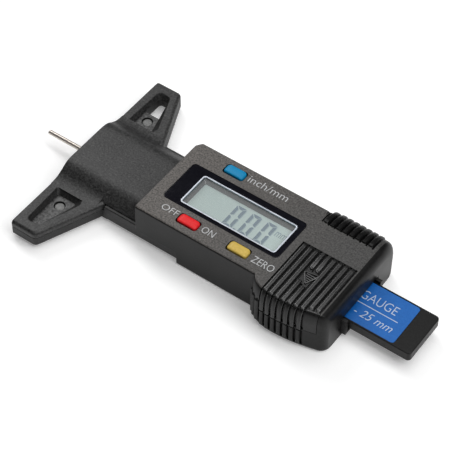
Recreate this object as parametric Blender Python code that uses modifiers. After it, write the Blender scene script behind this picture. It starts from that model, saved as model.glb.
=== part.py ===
"""Digital tyre tread depth gauge, built piece by piece.

Units are metres and +Z is up. The gauge lies on its back with the display facing up. X runs along
the measuring axis: the probe pin points to -X and the tongue's free end to +X. Y is across the foot.

Every piece is drawn in gauge coordinates, whose origin is on the foot's front face (the datum that
rests on the tread), at the foot's underside and on the centre line. The empty "gauge_datum" carries
them to the object's own frame, whose origin is below the middle of the whole gauge.
"""
import math

import bmesh
import bpy
from mathutils import Matrix, Vector

MM = 0.001

# ---- clearances -------------------------------------------------------------------------------
GAP = 0.3 * MM              # between neighbouring pieces
SMALL_GAP = 0.2 * MM        # between thin pieces inside the housing
WELD = 1e-6                 # distance under which points are one point

# ---- foot -------------------------------------------------------------------------------------
FOOT_HALF = 35.0 * MM       # half the width across both wing tips
WING_TIP_DEPTH = 8.8 * MM   # front to back at a wing's tip
WING_ROOT_DEPTH = 17.3 * MM  # front to back where a wing meets the stem
WING_SEAM = 3.0 * MM        # top of the lower shell in the wings
WING_TOP = 5.2 * MM
WING_BEVEL = 1.1 * MM
STEM_HALF = 14.9 * MM
STEM_TOP = 4.8 * MM
STEM_START = 18.05 * MM     # front of the stem's sides, just behind the wings
STEM_END = 44.2 * MM        # where the stem ends inside the display housing
STEM_INNER_HALF = 13.9 * MM  # the stem's upper part, where it passes inside the housing
CORE_HALF = 12.9 * MM       # the lower shell's raised core between the wings
HUMP_FOOT_HALF = 13.9 * MM
HUMP_TOP = 8.7 * MM
HUMP_END = 29.6 * MM
HUMP_WALL = 1.4 * MM
FRONT_WALL = 3.2 * MM       # thickness of the foot's front wall, which the pin passes through
STUD_X = 6.4 * MM
STUD_Y = 20.9 * MM
STUD_RADIUS = 1.5 * MM
STUD_HOLE_RADIUS = 1.75 * MM

# ---- slide: probe pin, tongue, label and scale --------------------------------------------------
PIN_RADIUS = 0.75 * MM
PIN_BORE_RADIUS = 1.05 * MM
PIN_Z = 3.3 * MM
PIN_REACH = 14.6 * MM       # how far the pin stands out of the foot at rest
PIN_ROOT = 22.0 * MM
TONGUE_START = 15.2 * MM
TONGUE_END = 117.5 * MM
TONGUE_HALF = 7.9 * MM
TONGUE_KEEL_HALF = 5.3 * MM
TONGUE_BOTTOM = 1.3 * MM
TONGUE_EDGE_BOTTOM = 1.9 * MM
TONGUE_TOP = 5.2 * MM
RECESS_DEPTH = 0.5 * MM
LABEL_START = 79.0 * MM
LABEL_END = 111.7 * MM
LABEL_HALF = 7.3 * MM
SCALE_START = 22.0 * MM
SCALE_END = 78.0 * MM
SCALE_HALF = 6.0 * MM

# ---- guide channel in the lower shell ------------------------------------------------------------
CHANNEL_HALF = 8.2 * MM
CHANNEL_FLOOR = 1.0 * MM
BEAM_HALF = 9.3 * MM
BEAM_TOP = 5.7 * MM
BEAM_END = 97.9 * MM

# ---- display housing ------------------------------------------------------------------------------
HOUSING_START = 30.0 * MM
HOUSING_END = 96.3 * MM
HOUSING_HALF = 15.6 * MM
HOUSING_TOP = 14.0 * MM
HOUSING_BOTTOM = -1.3 * MM
HOUSING_WALL = 1.3 * MM
CEILING = 12.4 * MM         # underside of the housing's top wall
STEP_X = 44.6 * MM          # in front of this the housing's sides end above the stem
STEP_Z = 3.9 * MM
REAR_DROP_START = 93.7 * MM
REAR_DROP = 4.0 * MM
REAR_CORNER = 2.0 * MM
EDGE_ROUND = 0.7 * MM       # along the top edges beside the display
FOOT_ROUND = 0.8 * MM       # along the bottom edges
GRIP_FOOT_ROUND = 1.6 * MM

# ---- grip: how each side bulges, by the side's sign. The bulge rises from start to peak and dies away over fall ----
GRIP_START = {-1.0: 71.4 * MM, 1.0: 75.2 * MM}
GRIP_PEAK = {-1.0: 80.0 * MM, 1.0: 78.6 * MM}
GRIP_SWELL = {-1.0: 4.5 * MM, 1.0: 3.35 * MM}
GRIP_FALL = {-1.0: 21.0 * MM, 1.0: 45.0 * MM}
NEAR_EDGE_OVAL = (1.2 * MM, 4.5 * MM)  # the near grip's top edge is an oval this wide and this high
FAR_EDGE_DROP = 5.0 * MM    # the far grip slopes down from the ribs' inner ends by this much

# ---- ribs -----------------------------------------------------------------------------------------
RIB_PITCH = 1.95 * MM
RIB_HEIGHT = 0.45 * MM
RIB_WIDTH = 1.45 * MM
FAR_RIBS = 8
FAR_RIB_PITCH = 2.1 * MM
FAR_RIB_START = 77.0 * MM
FAR_RIB_INNER_Y = 11.0 * MM
NEAR_RIBS = 9
NEAR_RIB_START = 77.0 * MM

# ---- battery cover ----------------------------------------------------------------------------------
COVER_START = 75.9 * MM
COVER_END = 93.6 * MM
COVER_FAR_EDGE = 1.8 * MM
COVER_UNDERSIDE = 12.8 * MM
COVER_SKIRT_Y = -15.2 * MM
COVER_SEAM_Z = 6.7 * MM
HOOKS = [(77.5 * MM, 78.6 * MM), (91.0 * MM, 92.1 * MM)]  # two hooks that pass on either side of the cell
HOOK_Z = (11.4 * MM, 11.8 * MM)

# ---- display ----------------------------------------------------------------------------------------
BEZEL_X = (34.0 * MM, 73.4 * MM)
BEZEL_HALF = 7.7 * MM
BEZEL_UNDERSIDE = 13.3 * MM
TRIM_X = (39.1 * MM, 71.8 * MM)
TRIM_Y = (-6.5 * MM, 5.7 * MM)
TRIM_WIDTH = 0.5 * MM
LCD_X = (37.0 * MM, 73.4 * MM)
LCD_Y = (-8.2 * MM, 7.6 * MM)
LCD_Z = (10.2 * MM, 12.1 * MM)

# ---- circuit board --------------------------------------------------------------------------------
BOARD_X = (32.6 * MM, 75.4 * MM)
BOARD_HALF = 13.9 * MM
BOARD_Z = (6.1 * MM, 7.1 * MM)

# ---- buttons ----------------------------------------------------------------------------------------
BUTTON_LENGTH = 6.4 * MM
BUTTON_WIDTH = 3.0 * MM
BUTTON_TOP = 14.8 * MM
BUTTON_FLANGE = (11.5 * MM, 12.1 * MM)
BUTTON_STEM_BOTTOM = 8.25 * MM
BUTTONS = {
    "blue_unit_button": (45.6 * MM, 11.6 * MM),
    "red_power_button": (45.9 * MM, -11.3 * MM),
    "yellow_zero_button": (63.0 * MM, -11.2 * MM),
}

# ---- battery ----------------------------------------------------------------------------------------
CELL_RADIUS = 5.8 * MM
CELL_X = 84.8 * MM
CELL_Y = -7.4 * MM
CELL_Z = (7.0 * MM, 12.4 * MM)
BAY_X = (77.3 * MM, 92.4 * MM)
BAY_Y = (-13.9 * MM, 0.4 * MM)
BAY_FLOOR = (5.95 * MM, 6.4 * MM)

# ---- back plate -------------------------------------------------------------------------------------
PLATE_TOP = -0.2 * MM

# ---- screws -----------------------------------------------------------------------------------------
CASE_SCREWS = [(53.5 * MM, -12.0 * MM), (53.5 * MM, 12.0 * MM), (91.2 * MM, -12.0 * MM), (91.2 * MM, 12.0 * MM)]
BOARD_SCREWS = [(35.3 * MM, -11.9 * MM), (35.3 * MM, 11.9 * MM), (72.8 * MM, -11.9 * MM), (72.8 * MM, 11.9 * MM)]
BOSS_RADIUS = 2.0 * MM
BOSS_BOTTOM = 1.0 * MM
SHANK_RADIUS = 0.8 * MM
SCREW_BORE_RADIUS = 1.05 * MM
HEAD_RADIUS = 1.6 * MM

# ---- friction spring ----------------------------------------------------------------------------------
SPRING_X = (23.0 * MM, 41.0 * MM)
SPRING_Y = -9.0 * MM
SPRING_BOW = 0.45 * MM
SPRING_THICKNESS = 0.2 * MM

# ---- where the gauge stands in the object's frame -------------------------------------------------------
DATUM = Vector(((PIN_REACH - TONGUE_END) / 2.0, 0.0, -HOUSING_BOTTOM))

for old in list(bpy.data.objects):
    bpy.data.objects.remove(old, do_unlink=True)

PARTS = bpy.data.collections.new("tread_depth_gauge")
CUTTERS = bpy.data.collections.new("cutters")
bpy.context.scene.collection.children.link(PARTS)
bpy.context.scene.collection.children.link(CUTTERS)


def empty(name, location, parent=None):
    """An empty that carries pieces."""
    holder = bpy.data.objects.new(name, None)
    holder.location = location
    holder.parent = parent
    PARTS.objects.link(holder)
    return holder


gauge_datum = empty("gauge_datum", DATUM)
slide_axis = empty("slide_axis", (0.0, 0.0, PIN_Z), gauge_datum)


def material(name, colour, roughness, metallic=0.0):
    """A plain finish for one piece."""
    finish = bpy.data.materials.new(name)
    finish.use_nodes = True
    shader = finish.node_tree.nodes["Principled BSDF"]
    shader.inputs["Base Color"].default_value = (*colour, 1.0)
    shader.inputs["Roughness"].default_value = roughness
    shader.inputs["Metallic"].default_value = metallic
    return finish


FINISH = {
    "textured_black": ((0.030, 0.030, 0.030), 0.62, 0.0),
    "face_grey": ((0.075, 0.070, 0.064), 0.55, 0.0),
    "gloss_black": ((0.012, 0.012, 0.013), 0.25, 0.0),
    "label_blue": ((0.030, 0.150, 0.520), 0.45, 0.0),
    "button_blue": ((0.010, 0.270, 0.560), 0.40, 0.0),
    "button_red": ((0.850, 0.060, 0.060), 0.40, 0.0),
    "button_yellow": ((0.700, 0.500, 0.110), 0.40, 0.0),
    "lcd": ((0.430, 0.520, 0.490), 0.25, 0.0),
    "clear": ((0.900, 0.920, 0.930), 0.05, 0.0),
    "steel": ((0.600, 0.580, 0.550), 0.28, 1.0),
    "silver": ((0.550, 0.580, 0.620), 0.30, 0.9),
    "stud_grey": ((0.260, 0.260, 0.260), 0.50, 0.4),
    "board_green": ((0.020, 0.160, 0.070), 0.45, 0.0),
    "epoxy_black": ((0.010, 0.010, 0.010), 0.35, 0.0),
    "elastomer": ((0.600, 0.450, 0.450), 0.70, 0.0),
    "bronze": ((0.700, 0.450, 0.200), 0.35, 1.0),
}


def link(name, mesh, group, parent=None):
    """Put a mesh in the scene as one object."""
    thing = bpy.data.objects.new(name, mesh)
    thing.parent = parent
    group.objects.link(thing)
    return thing


def tool(name, mesh):
    """A hidden solid that cuts or joins another."""
    guide = link(name, mesh, CUTTERS, gauge_datum)
    guide.hide_render = True
    guide.display_type = "WIRE"
    return guide


def mesh_of(name, form):
    """Close a bmesh into a mesh with its faces pointing out."""
    bmesh.ops.recalc_face_normals(form, faces=form.faces)
    mesh = bpy.data.meshes.new(name)
    form.to_mesh(mesh)
    form.free()
    return mesh


def box_mesh(name, low, high):
    """A box between two corners."""
    form = bmesh.new()
    bmesh.ops.create_cube(form, size=1.0)
    low = Vector(low)
    high = Vector(high)
    bmesh.ops.scale(form, vec=high - low, verts=form.verts)
    bmesh.ops.translate(form, vec=(low + high) / 2.0, verts=form.verts)
    return mesh_of(name, form)


def rod_mesh(name, start, end, radius, sides=20):
    """A round bar between two points."""
    start = Vector(start)
    end = Vector(end)
    form = bmesh.new()
    turn = (end - start).to_track_quat("Z", "Y").to_matrix().to_4x4()
    bmesh.ops.create_cone(form, cap_ends=True, segments=sides, radius1=radius, radius2=radius,
                          depth=(end - start).length, matrix=Matrix.Translation((start + end) / 2.0) @ turn)
    return mesh_of(name, form)


def rounded(corners, radii, steps=4):
    """An outline whose corners are replaced by arcs. Corners run anticlockwise; a radius of 0 stays sharp."""
    points = []
    count = len(corners)
    for index, corner in enumerate(corners):
        here = Vector(corner)
        radius = radii[index] if isinstance(radii, (list, tuple)) else radii
        if radius <= 0.0:
            points.append(tuple(here))
            continue
        before = (Vector(corners[index - 1]) - here).normalized()
        after = (Vector(corners[(index + 1) % count]) - here).normalized()
        half_angle = before.angle(after) / 2.0
        reach = radius / math.tan(half_angle)
        centre = here + (before + after).normalized() * radius / math.sin(half_angle)
        first = here + before * reach - centre
        last = here + after * reach - centre
        sweep = first.angle_signed(last)
        for step in range(steps + 1):
            angle = -sweep * step / steps
            turned = Vector((first.x * math.cos(angle) - first.y * math.sin(angle),
                             first.x * math.sin(angle) + first.y * math.cos(angle)))
            points.append(tuple(centre + turned))
    return points


def outline_mesh(name, outline, low, high, along="Z"):
    """A flat outline given a thickness. Along Z it is (x, y), along X it is (y, z), along Y it is (x, z)."""
    curve = bpy.data.curves.new(name, "CURVE")
    curve.dimensions = "2D"
    curve.fill_mode = "BOTH"
    curve.extrude = (high - low) / 2.0
    spline = curve.splines.new("POLY")
    spline.points.add(len(outline) - 1)
    for point, (first, second) in zip(spline.points, outline):
        point.co = (first, second, 0.0, 1.0)
    spline.use_cyclic_u = True
    drawn = bpy.data.objects.new(name, curve)
    CUTTERS.objects.link(drawn)
    bpy.context.view_layer.update()
    mesh = bpy.data.meshes.new_from_object(drawn.evaluated_get(bpy.context.evaluated_depsgraph_get()))
    bpy.data.objects.remove(drawn, do_unlink=True)
    middle = (low + high) / 2.0
    place = {
        "Z": Matrix.Translation((0.0, 0.0, middle)),
        "X": Matrix(((0, 0, 1, middle), (1, 0, 0, 0), (0, 1, 0, 0), (0, 0, 0, 1))),
        "Y": Matrix(((1, 0, 0, 0), (0, 0, -1, middle), (0, 1, 0, 0), (0, 0, 0, 1))),
    }[along]
    form = bmesh.new()
    form.from_mesh(mesh)
    bpy.data.meshes.remove(mesh)
    bmesh.ops.remove_doubles(form, verts=form.verts, dist=WELD)
    bmesh.ops.transform(form, matrix=place, verts=form.verts)
    return mesh_of(name, form)


def loft_mesh(name, rings):
    """A closed solid through rings of points, each ring with the same number of points."""
    form = bmesh.new()
    rows = [[form.verts.new(point) for point in ring] for ring in rings]
    size = len(rows[0])
    for row, following in zip(rows, rows[1:]):
        for index in range(size):
            after = (index + 1) % size
            form.faces.new((row[index], row[after], following[after], following[index]))
    form.faces.new(rows[0])
    form.faces.new(list(reversed(rows[-1])))
    return mesh_of(name, form)


def turned_mesh(name, profile, centre, steps=24):
    """A profile of (radius, z), run from the top down, turned about a vertical axis."""
    form = bmesh.new()
    previous = None
    for radius, height in profile:
        vertex = form.verts.new((radius, 0.0, height))
        if previous:
            form.edges.new((previous, vertex))
        previous = vertex
    mesh = bpy.data.meshes.new(name)
    form.to_mesh(mesh)
    form.free()
    drawn = link(name, mesh, CUTTERS)
    screw = drawn.modifiers.new("turn", "SCREW")
    screw.steps = steps
    screw.render_steps = steps
    screw.use_merge_vertices = True
    screw.merge_threshold = WELD
    bpy.context.view_layer.update()
    turned = bpy.data.meshes.new_from_object(drawn.evaluated_get(bpy.context.evaluated_depsgraph_get()))
    bpy.data.objects.remove(drawn, do_unlink=True)
    form = bmesh.new()
    form.from_mesh(turned)
    bpy.data.meshes.remove(turned)
    bmesh.ops.remove_doubles(form, verts=form.verts, dist=WELD)
    bmesh.ops.translate(form, vec=centre, verts=form.verts)
    return mesh_of(name, form)


def settle(thing):
    """Replace an object's mesh by what its modifiers make of it."""
    bpy.context.view_layer.update()
    result = bpy.data.meshes.new_from_object(thing.evaluated_get(bpy.context.evaluated_depsgraph_get()))
    thing.modifiers.clear()
    thing.data = result


def combine(thing, meshes, operation):
    """Cut the meshes from an object, or join them to it."""
    for mesh in meshes:
        other = tool(mesh.name, mesh)
        change = thing.modifiers.new(mesh.name, "BOOLEAN")
        change.operation = operation
        change.solver = "EXACT"
        change.object = other
        settle(thing)
        bpy.data.objects.remove(other, do_unlink=True)


def cut(thing, *meshes):
    combine(thing, meshes, "DIFFERENCE")


def join(thing, *meshes):
    combine(thing, meshes, "UNION")


def bevel(thing, width, segments=2, angle=40.0):
    """Round an object's sharp edges."""
    edge = thing.modifiers.new("edges", "BEVEL")
    edge.width = width
    edge.segments = segments
    edge.limit_method = "ANGLE"
    edge.angle_limit = math.radians(angle)
    settle(thing)


def piece(name, mesh, finish, parent=gauge_datum):
    """One named sub-part with its own material."""
    thing = link(name, mesh, PARTS, gauge_datum)
    thing["finish"] = finish
    thing["holder"] = parent.name
    return thing


def complete(thing, origin=(0.0, 0.0, 0.0)):
    """Move an object's origin to its own reference point, hand it to its holder and colour it."""
    holder = bpy.data.objects[thing["holder"]]
    thing.data.transform(Matrix.Translation(-Vector(origin)))
    thing.parent = holder
    base = Vector(holder.location) if holder != gauge_datum else Vector((0.0, 0.0, 0.0))
    thing.location = Vector(origin) - base
    thing.data.name = thing.name
    thing.data.materials.clear()
    colour, roughness, metallic = FINISH[thing["finish"]]
    thing.data.materials.append(material(thing.name + "_finish", colour, roughness, metallic))
    thing.data.shade_smooth()
    thing.data.set_sharp_from_angle(angle=math.radians(35.0))
    del thing["finish"]
    del thing["holder"]


# ---- foot ----------------------------------------------------------------------------------------

def wing_outline(half_root, tip_radius, inset=0.0):
    """Both wings and the bar between them, seen from above. inset draws the tips and the rear edges in."""
    run = FOOT_HALF - STEM_HALF
    rise = WING_ROOT_DEPTH - WING_TIP_DEPTH
    slant = math.hypot(run, rise)
    root = WING_ROOT_DEPTH + (STEM_HALF - half_root) * rise / run - inset * slant / run
    tip = WING_TIP_DEPTH - inset * (slant - rise) / run
    half = FOOT_HALF - inset
    corners = [(0.0, -half), (tip, -half), (root, -half_root), (root, half_root), (tip, half), (0.0, half)]
    return rounded(corners, [0.5 * MM, tip_radius, 0.0, 0.0, tip_radius, 0.5 * MM])


def far_hole_outline():
    """The hanging hole in the far wing."""
    corners = [(3.5 * MM, 24.0 * MM), (10.0 * MM, 24.0 * MM), (7.0 * MM, 30.9 * MM), (3.5 * MM, 30.9 * MM)]
    return rounded(corners, [0.2 * MM, 0.2 * MM, 1.2 * MM, 1.2 * MM])


def pocket_mesh(name, side):
    """A triangular pocket with sloping walls. side is -1 for the near wing and +1 for the far one."""
    rim = [(2.5, 16.4), (11.6, 16.2), (12.3, 18.6), (7.4, 31.4), (3.0, 31.8)]
    floor = [(3.5, 17.7), (10.0, 17.7), (10.0, 18.9), (6.9, 30.6), (3.6, 30.6)]
    rings = []
    for corners, height in ((floor, WING_SEAM - GAP), (floor, WING_SEAM + GAP), (rim, WING_TOP + GAP)):
        flat = [(x * MM, y * MM) for x, y in corners]
        ring = rounded(flat, [1.0 * MM, 0.8 * MM, 0.8 * MM, 1.3 * MM, 1.3 * MM], 3)
        rings.append([(x, side * y, height) for x, y in ring])
    return loft_mesh(name, rings)


def hump_profile(half, top, wall=0.0):
    """The hump's cross-section as (y, z): a flat crown with soft shoulders and a slight flare at its foot."""
    flank = [(half, STEM_TOP + GAP), (12.9 * MM, 5.9 * MM), (11.3 * MM, 7.2 * MM), (9.9 * MM, 8.2 * MM),
             (8.9 * MM, 8.6 * MM), (7.4 * MM, top)]
    if wall:
        drop = top - HUMP_TOP
        flank = [(half, STEM_TOP - GAP), (half, STEM_TOP + GAP), (10.3 * MM, 8.2 * MM - wall + drop / 4.0),
                 (7.0 * MM, top)]
    return [(-y, z) for y, z in flank] + [(y, z) for y, z in reversed(flank)]


def foot_lower_shell():
    foot = piece("foot_lower_shell", outline_mesh("wings", wing_outline(STEM_HALF, 1.6 * MM), 0.0, WING_SEAM),
                 "textured_black")
    join(foot,
         box_mesh("core", (0.0, -CORE_HALF, 0.05 * MM), (STEM_START + MM, CORE_HALF, STEM_TOP)),
         box_mesh("stem_root", (WING_ROOT_DEPTH - MM, -STEM_HALF, 0.0), (STEM_START + MM, STEM_HALF, WING_SEAM)),
         box_mesh("stem", (STEM_START, -STEM_HALF, 0.0), (STEM_END, STEM_HALF, STEM_TOP)),
         box_mesh("beam", (STEM_END - MM, -BEAM_HALF, 0.0), (BEAM_END, BEAM_HALF, BEAM_TOP)))
    cut(foot,
        box_mesh("channel", (FRONT_WALL, -CHANNEL_HALF, CHANNEL_FLOOR), (BEAM_END + MM, CHANNEL_HALF, 9.0 * MM)),
        rod_mesh("pin_hole", (-MM, 0.0, PIN_Z), (FRONT_WALL + MM, 0.0, PIN_Z), PIN_BORE_RADIUS, 16),
        box_mesh("spring_seat", (SPRING_X[0] - MM, SPRING_Y - 0.4 * MM, 1.6 * MM),
                 (SPRING_X[1] + MM, -CHANNEL_HALF + MM, 9.0 * MM)),
        outline_mesh("hanging_hole", far_hole_outline(), -MM, WING_SEAM + MM))
    for side in (-1.0, 1.0):
        low = STEM_INNER_HALF if side > 0 else -STEM_HALF - MM
        high = STEM_HALF + MM if side > 0 else -STEM_INNER_HALF
        cut(foot,
            box_mesh("shoulder", (HOUSING_START - GAP, low, STEP_Z - GAP), (STEM_END + MM, high, 9.0 * MM)),
            rod_mesh("stud_hole", (STUD_X, side * STUD_Y, -MM), (STUD_X, side * STUD_Y, 9.0 * MM),
                     STUD_HOLE_RADIUS, 20))
    complete(foot)


def foot_upper_shell():
    rings = [(0.0, WING_SEAM + GAP)]
    for angle in (0.0, 30.0, 60.0, 90.0):
        turn = math.radians(angle)
        rings.append((WING_BEVEL * (1.0 - math.cos(turn)), WING_TOP - WING_BEVEL * (1.0 - math.sin(turn))))
    wings = [[(x, y, height) for x, y in wing_outline(HUMP_FOOT_HALF, 1.6 * MM - 0.6 * inset, inset)]
             for inset, height in rings]
    top = piece("foot_upper_shell", loft_mesh("wing_tops", wings), "textured_black")
    join(top, outline_mesh("hump", hump_profile(HUMP_FOOT_HALF, HUMP_TOP), 0.0, HUMP_END, "X"))
    cut(top,
        box_mesh("core_room", (-MM, -CORE_HALF - GAP, 0.0), (HUMP_END + MM, CORE_HALF + GAP,
                                                             STEM_TOP + GAP + 0.05 * MM)),
        outline_mesh("hollow", hump_profile(11.9 * MM, HUMP_TOP - HUMP_WALL, HUMP_WALL), 1.8 * MM,
                     HUMP_END + MM, "X"),
        pocket_mesh("near_pocket", -1.0),
        pocket_mesh("far_pocket", 1.0))
    complete(top)


def wing_studs():
    profile = [(0.0, 2.7 * MM), (1.2 * MM, 2.7 * MM), (STUD_RADIUS, 2.45 * MM), (STUD_RADIUS, 0.35 * MM),
               (1.3 * MM, 0.15 * MM), (0.0, 0.15 * MM)]
    for name, side in (("near_wing_stud", -1.0), ("far_wing_stud", 1.0)):
        stud = piece(name, turned_mesh(name, profile, (STUD_X, side * STUD_Y, 0.0)), "stud_grey")
        complete(stud, (STUD_X, side * STUD_Y, 0.0))


# ---- slide -----------------------------------------------------------------------------------------

def probe_pin():
    pin = piece("probe_pin", rod_mesh("pin", (-PIN_REACH, 0.0, PIN_Z), (PIN_ROOT, 0.0, PIN_Z), PIN_RADIUS, 24),
                "steel", slide_axis)
    bevel(pin, 0.12 * MM, 1, 60.0)
    complete(pin, (0.0, 0.0, PIN_Z))


def measuring_tongue():
    flat = rounded([(TONGUE_START, -TONGUE_HALF), (TONGUE_END, -TONGUE_HALF), (TONGUE_END, TONGUE_HALF),
                    (TONGUE_START, TONGUE_HALF)], [0.5 * MM, 1.0 * MM, 1.0 * MM, 0.5 * MM])
    tongue = piece("measuring_tongue", outline_mesh("tongue", flat, TONGUE_EDGE_BOTTOM, TONGUE_TOP),
                   "textured_black", slide_axis)
    bevel(tongue, 0.25 * MM, 1, 60.0)
    keel = rounded([(TONGUE_START + 0.4 * MM, -TONGUE_KEEL_HALF), (TONGUE_END - 0.7 * MM, -TONGUE_KEEL_HALF),
                    (TONGUE_END - 0.7 * MM, TONGUE_KEEL_HALF), (TONGUE_START + 0.4 * MM, TONGUE_KEEL_HALF)],
                   0.5 * MM)
    join(tongue, outline_mesh("keel", keel, TONGUE_BOTTOM, TONGUE_EDGE_BOTTOM + MM))
    label_seat = rounded([(LABEL_START - GAP, -LABEL_HALF - GAP), (LABEL_END + SMALL_GAP, -LABEL_HALF - GAP),
                          (LABEL_END + SMALL_GAP, LABEL_HALF + GAP), (LABEL_START - GAP, LABEL_HALF + GAP)],
                         [0.0, MM, MM, 0.0])
    cut(tongue,
        outline_mesh("label_seat", label_seat, TONGUE_TOP - RECESS_DEPTH, TONGUE_TOP + MM),
        box_mesh("scale_seat", (SCALE_START - GAP, -SCALE_HALF - GAP, TONGUE_TOP - RECESS_DEPTH),
                 (SCALE_END + GAP, SCALE_HALF + GAP, TONGUE_TOP + MM)),
        rod_mesh("pin_socket", (TONGUE_START - MM, 0.0, PIN_Z), (PIN_ROOT + GAP, 0.0, PIN_Z), PIN_BORE_RADIUS, 16))
    complete(tongue, (0.0, 0.0, PIN_Z))


def tongue_cards():
    bottom = TONGUE_TOP - SMALL_GAP
    label_flat = rounded([(LABEL_START, -LABEL_HALF), (LABEL_END, -LABEL_HALF), (LABEL_END, LABEL_HALF),
                          (LABEL_START, LABEL_HALF)], [0.0, 0.9 * MM, 0.9 * MM, 0.0])
    label = piece("tongue_label", outline_mesh("label", label_flat, bottom, TONGUE_TOP), "label_blue", slide_axis)
    complete(label, (0.0, 0.0, PIN_Z))
    scale = piece("scale_strip", box_mesh("scale", (SCALE_START, -SCALE_HALF, bottom),
                                          (SCALE_END, SCALE_HALF, TONGUE_TOP)), "board_green", slide_axis)
    complete(scale, (0.0, 0.0, PIN_Z))


def friction_spring():
    steps = 12
    face = []
    back = []
    for step in range(steps + 1):
        share = step / steps
        x = SPRING_X[0] + (SPRING_X[1] - SPRING_X[0]) * share
        bow = SPRING_BOW * math.sin(math.pi * share)
        face.append((x, SPRING_Y + bow + SPRING_THICKNESS))
        back.append((x, SPRING_Y + bow))
    spring = piece("friction_spring", outline_mesh("leaf", back + face[::-1], 2.0 * MM, 4.4 * MM), "bronze")
    complete(spring, (SPRING_X[0], SPRING_Y, 0.0))


# ---- display housing ---------------------------------------------------------------------------------

def grip_bulge(x, side):
    """How far one side of the grip stands out at x."""
    start = GRIP_START[side]
    peak = GRIP_PEAK[side]
    if x <= start:
        return 0.0
    if x < peak:
        return GRIP_SWELL[side] * math.sqrt(1.0 - ((peak - x) / (peak - start)) ** 2)
    return GRIP_SWELL[side] * math.cos(math.pi / 2.0 * (x - peak) / GRIP_FALL[side])


def housing_half(x, side):
    """Distance from the centre line to one side at x: straight, then swelling into the barrel-shaped grip."""
    start = HOUSING_END - REAR_CORNER
    corner = REAR_CORNER - math.sqrt(max(REAR_CORNER ** 2 - max(x - start, 0.0) ** 2, 0.0))
    return HOUSING_HALF + grip_bulge(x, side) - corner


def housing_top(x):
    """Height of the housing's top at x: flat, then rounding down at the rear."""
    share = max(x - REAR_DROP_START, 0.0) / (HOUSING_END - REAR_DROP_START)
    return HOUSING_TOP - REAR_DROP * (1.0 - math.sqrt(max(1.0 - share ** 2, 0.0)))


def edge_rounding(x, side):
    """Rounding of one side's long edges at x: the top oval's width and height, and the bottom radius."""
    share = math.sqrt(grip_bulge(x, side) / GRIP_SWELL[side])
    wide, high = NEAR_EDGE_OVAL
    if side > 0.0:
        wide = housing_half(x, side) - FAR_RIB_INNER_Y
        high = FAR_EDGE_DROP
    return (EDGE_ROUND + (wide - EDGE_ROUND) * share, EDGE_ROUND + (high - EDGE_ROUND) * share,
            FOOT_ROUND + (GRIP_FOOT_ROUND - FOOT_ROUND) * share)


def housing_ring(x):
    """The housing's cross-section at x, running up the near side and down the far side."""
    top = housing_top(x)
    quarter = [math.pi / 2.0 * step / 4.0 for step in range(5)]
    sides = []
    for side in (-1.0, 1.0):
        half = housing_half(x, side)
        wide, high, foot = edge_rounding(x, side)
        edge = [(half - foot + foot * math.sin(a), HOUSING_BOTTOM + foot - foot * math.cos(a)) for a in quarter]
        edge += [(half - wide + wide * math.cos(a), top - high + high * math.sin(a)) for a in quarter]
        sides.append([(x, side * y, z) for y, z in edge])
    return sides[0] + sides[1][::-1]


def housing_stations(start, end):
    """Places along X where the housing's cross-section is drawn."""
    marks = [HOUSING_START, HOUSING_START + 0.5 * MM]
    marks += [GRIP_START[-1.0] + step * MM for step in (0.0, 0.15, 0.6, 1.3, 2.4)]
    marks += [GRIP_START[1.0] + step * MM for step in (0.0, 0.15, 0.5, 1.1, 2.0, 3.4)]
    marks += [GRIP_PEAK[-1.0] + step * MM for step in (0.0, 3.5, 7.0, 10.5, 13.7)]
    marks += [HOUSING_END - step * MM for step in (1.9, 1.2, 0.6, 0.2, 0.0)]
    inside = [mark for mark in marks if start + 0.1 * MM < mark < end - 0.1 * MM]
    return [start] + inside + [end]


def housing_mesh(name, start, end):
    return loft_mesh(name, [housing_ring(x) for x in housing_stations(start, end)])


def rib_mesh(name, x, path):
    """A rounded rib across the grip at x. path gives (y, z, outward normal y, outward normal z)."""
    section = [(-0.5, -0.6), (-0.5, 0.35), (-0.25, 1.0), (0.25, 1.0), (0.5, 0.35), (0.5, -0.6)]
    rings = []
    for y, z, normal_y, normal_z in path:
        rings.append([(x + across * RIB_WIDTH, y + up * RIB_HEIGHT * normal_y, z + up * RIB_HEIGHT * normal_z)
                      for across, up in section])
    return loft_mesh(name, rings)


def rib_path(x, side, inner_y, lower_z):
    """A rib's way over the grip: out along the top, round the edge and down the side."""
    half = housing_half(x, side)
    wide, high, _ = edge_rounding(x, side)
    path = [(side * inner_y, HOUSING_TOP, 0.0, 1.0)]
    first = 1 if half - wide - inner_y < RIB_WIDTH else 0  # the edge may start to round at the rib's inner end
    for step in range(first, 5):
        angle = math.pi / 2.0 * (1.0 - step / 4.0)
        outward = Vector((high * math.cos(angle), wide * math.sin(angle))).normalized()
        path.append((side * (half - wide + wide * math.cos(angle)), HOUSING_TOP - high + high * math.sin(angle),
                     side * outward.x, outward.y))
    path.append((side * half, lower_z, side, 0.0))
    return path


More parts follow.
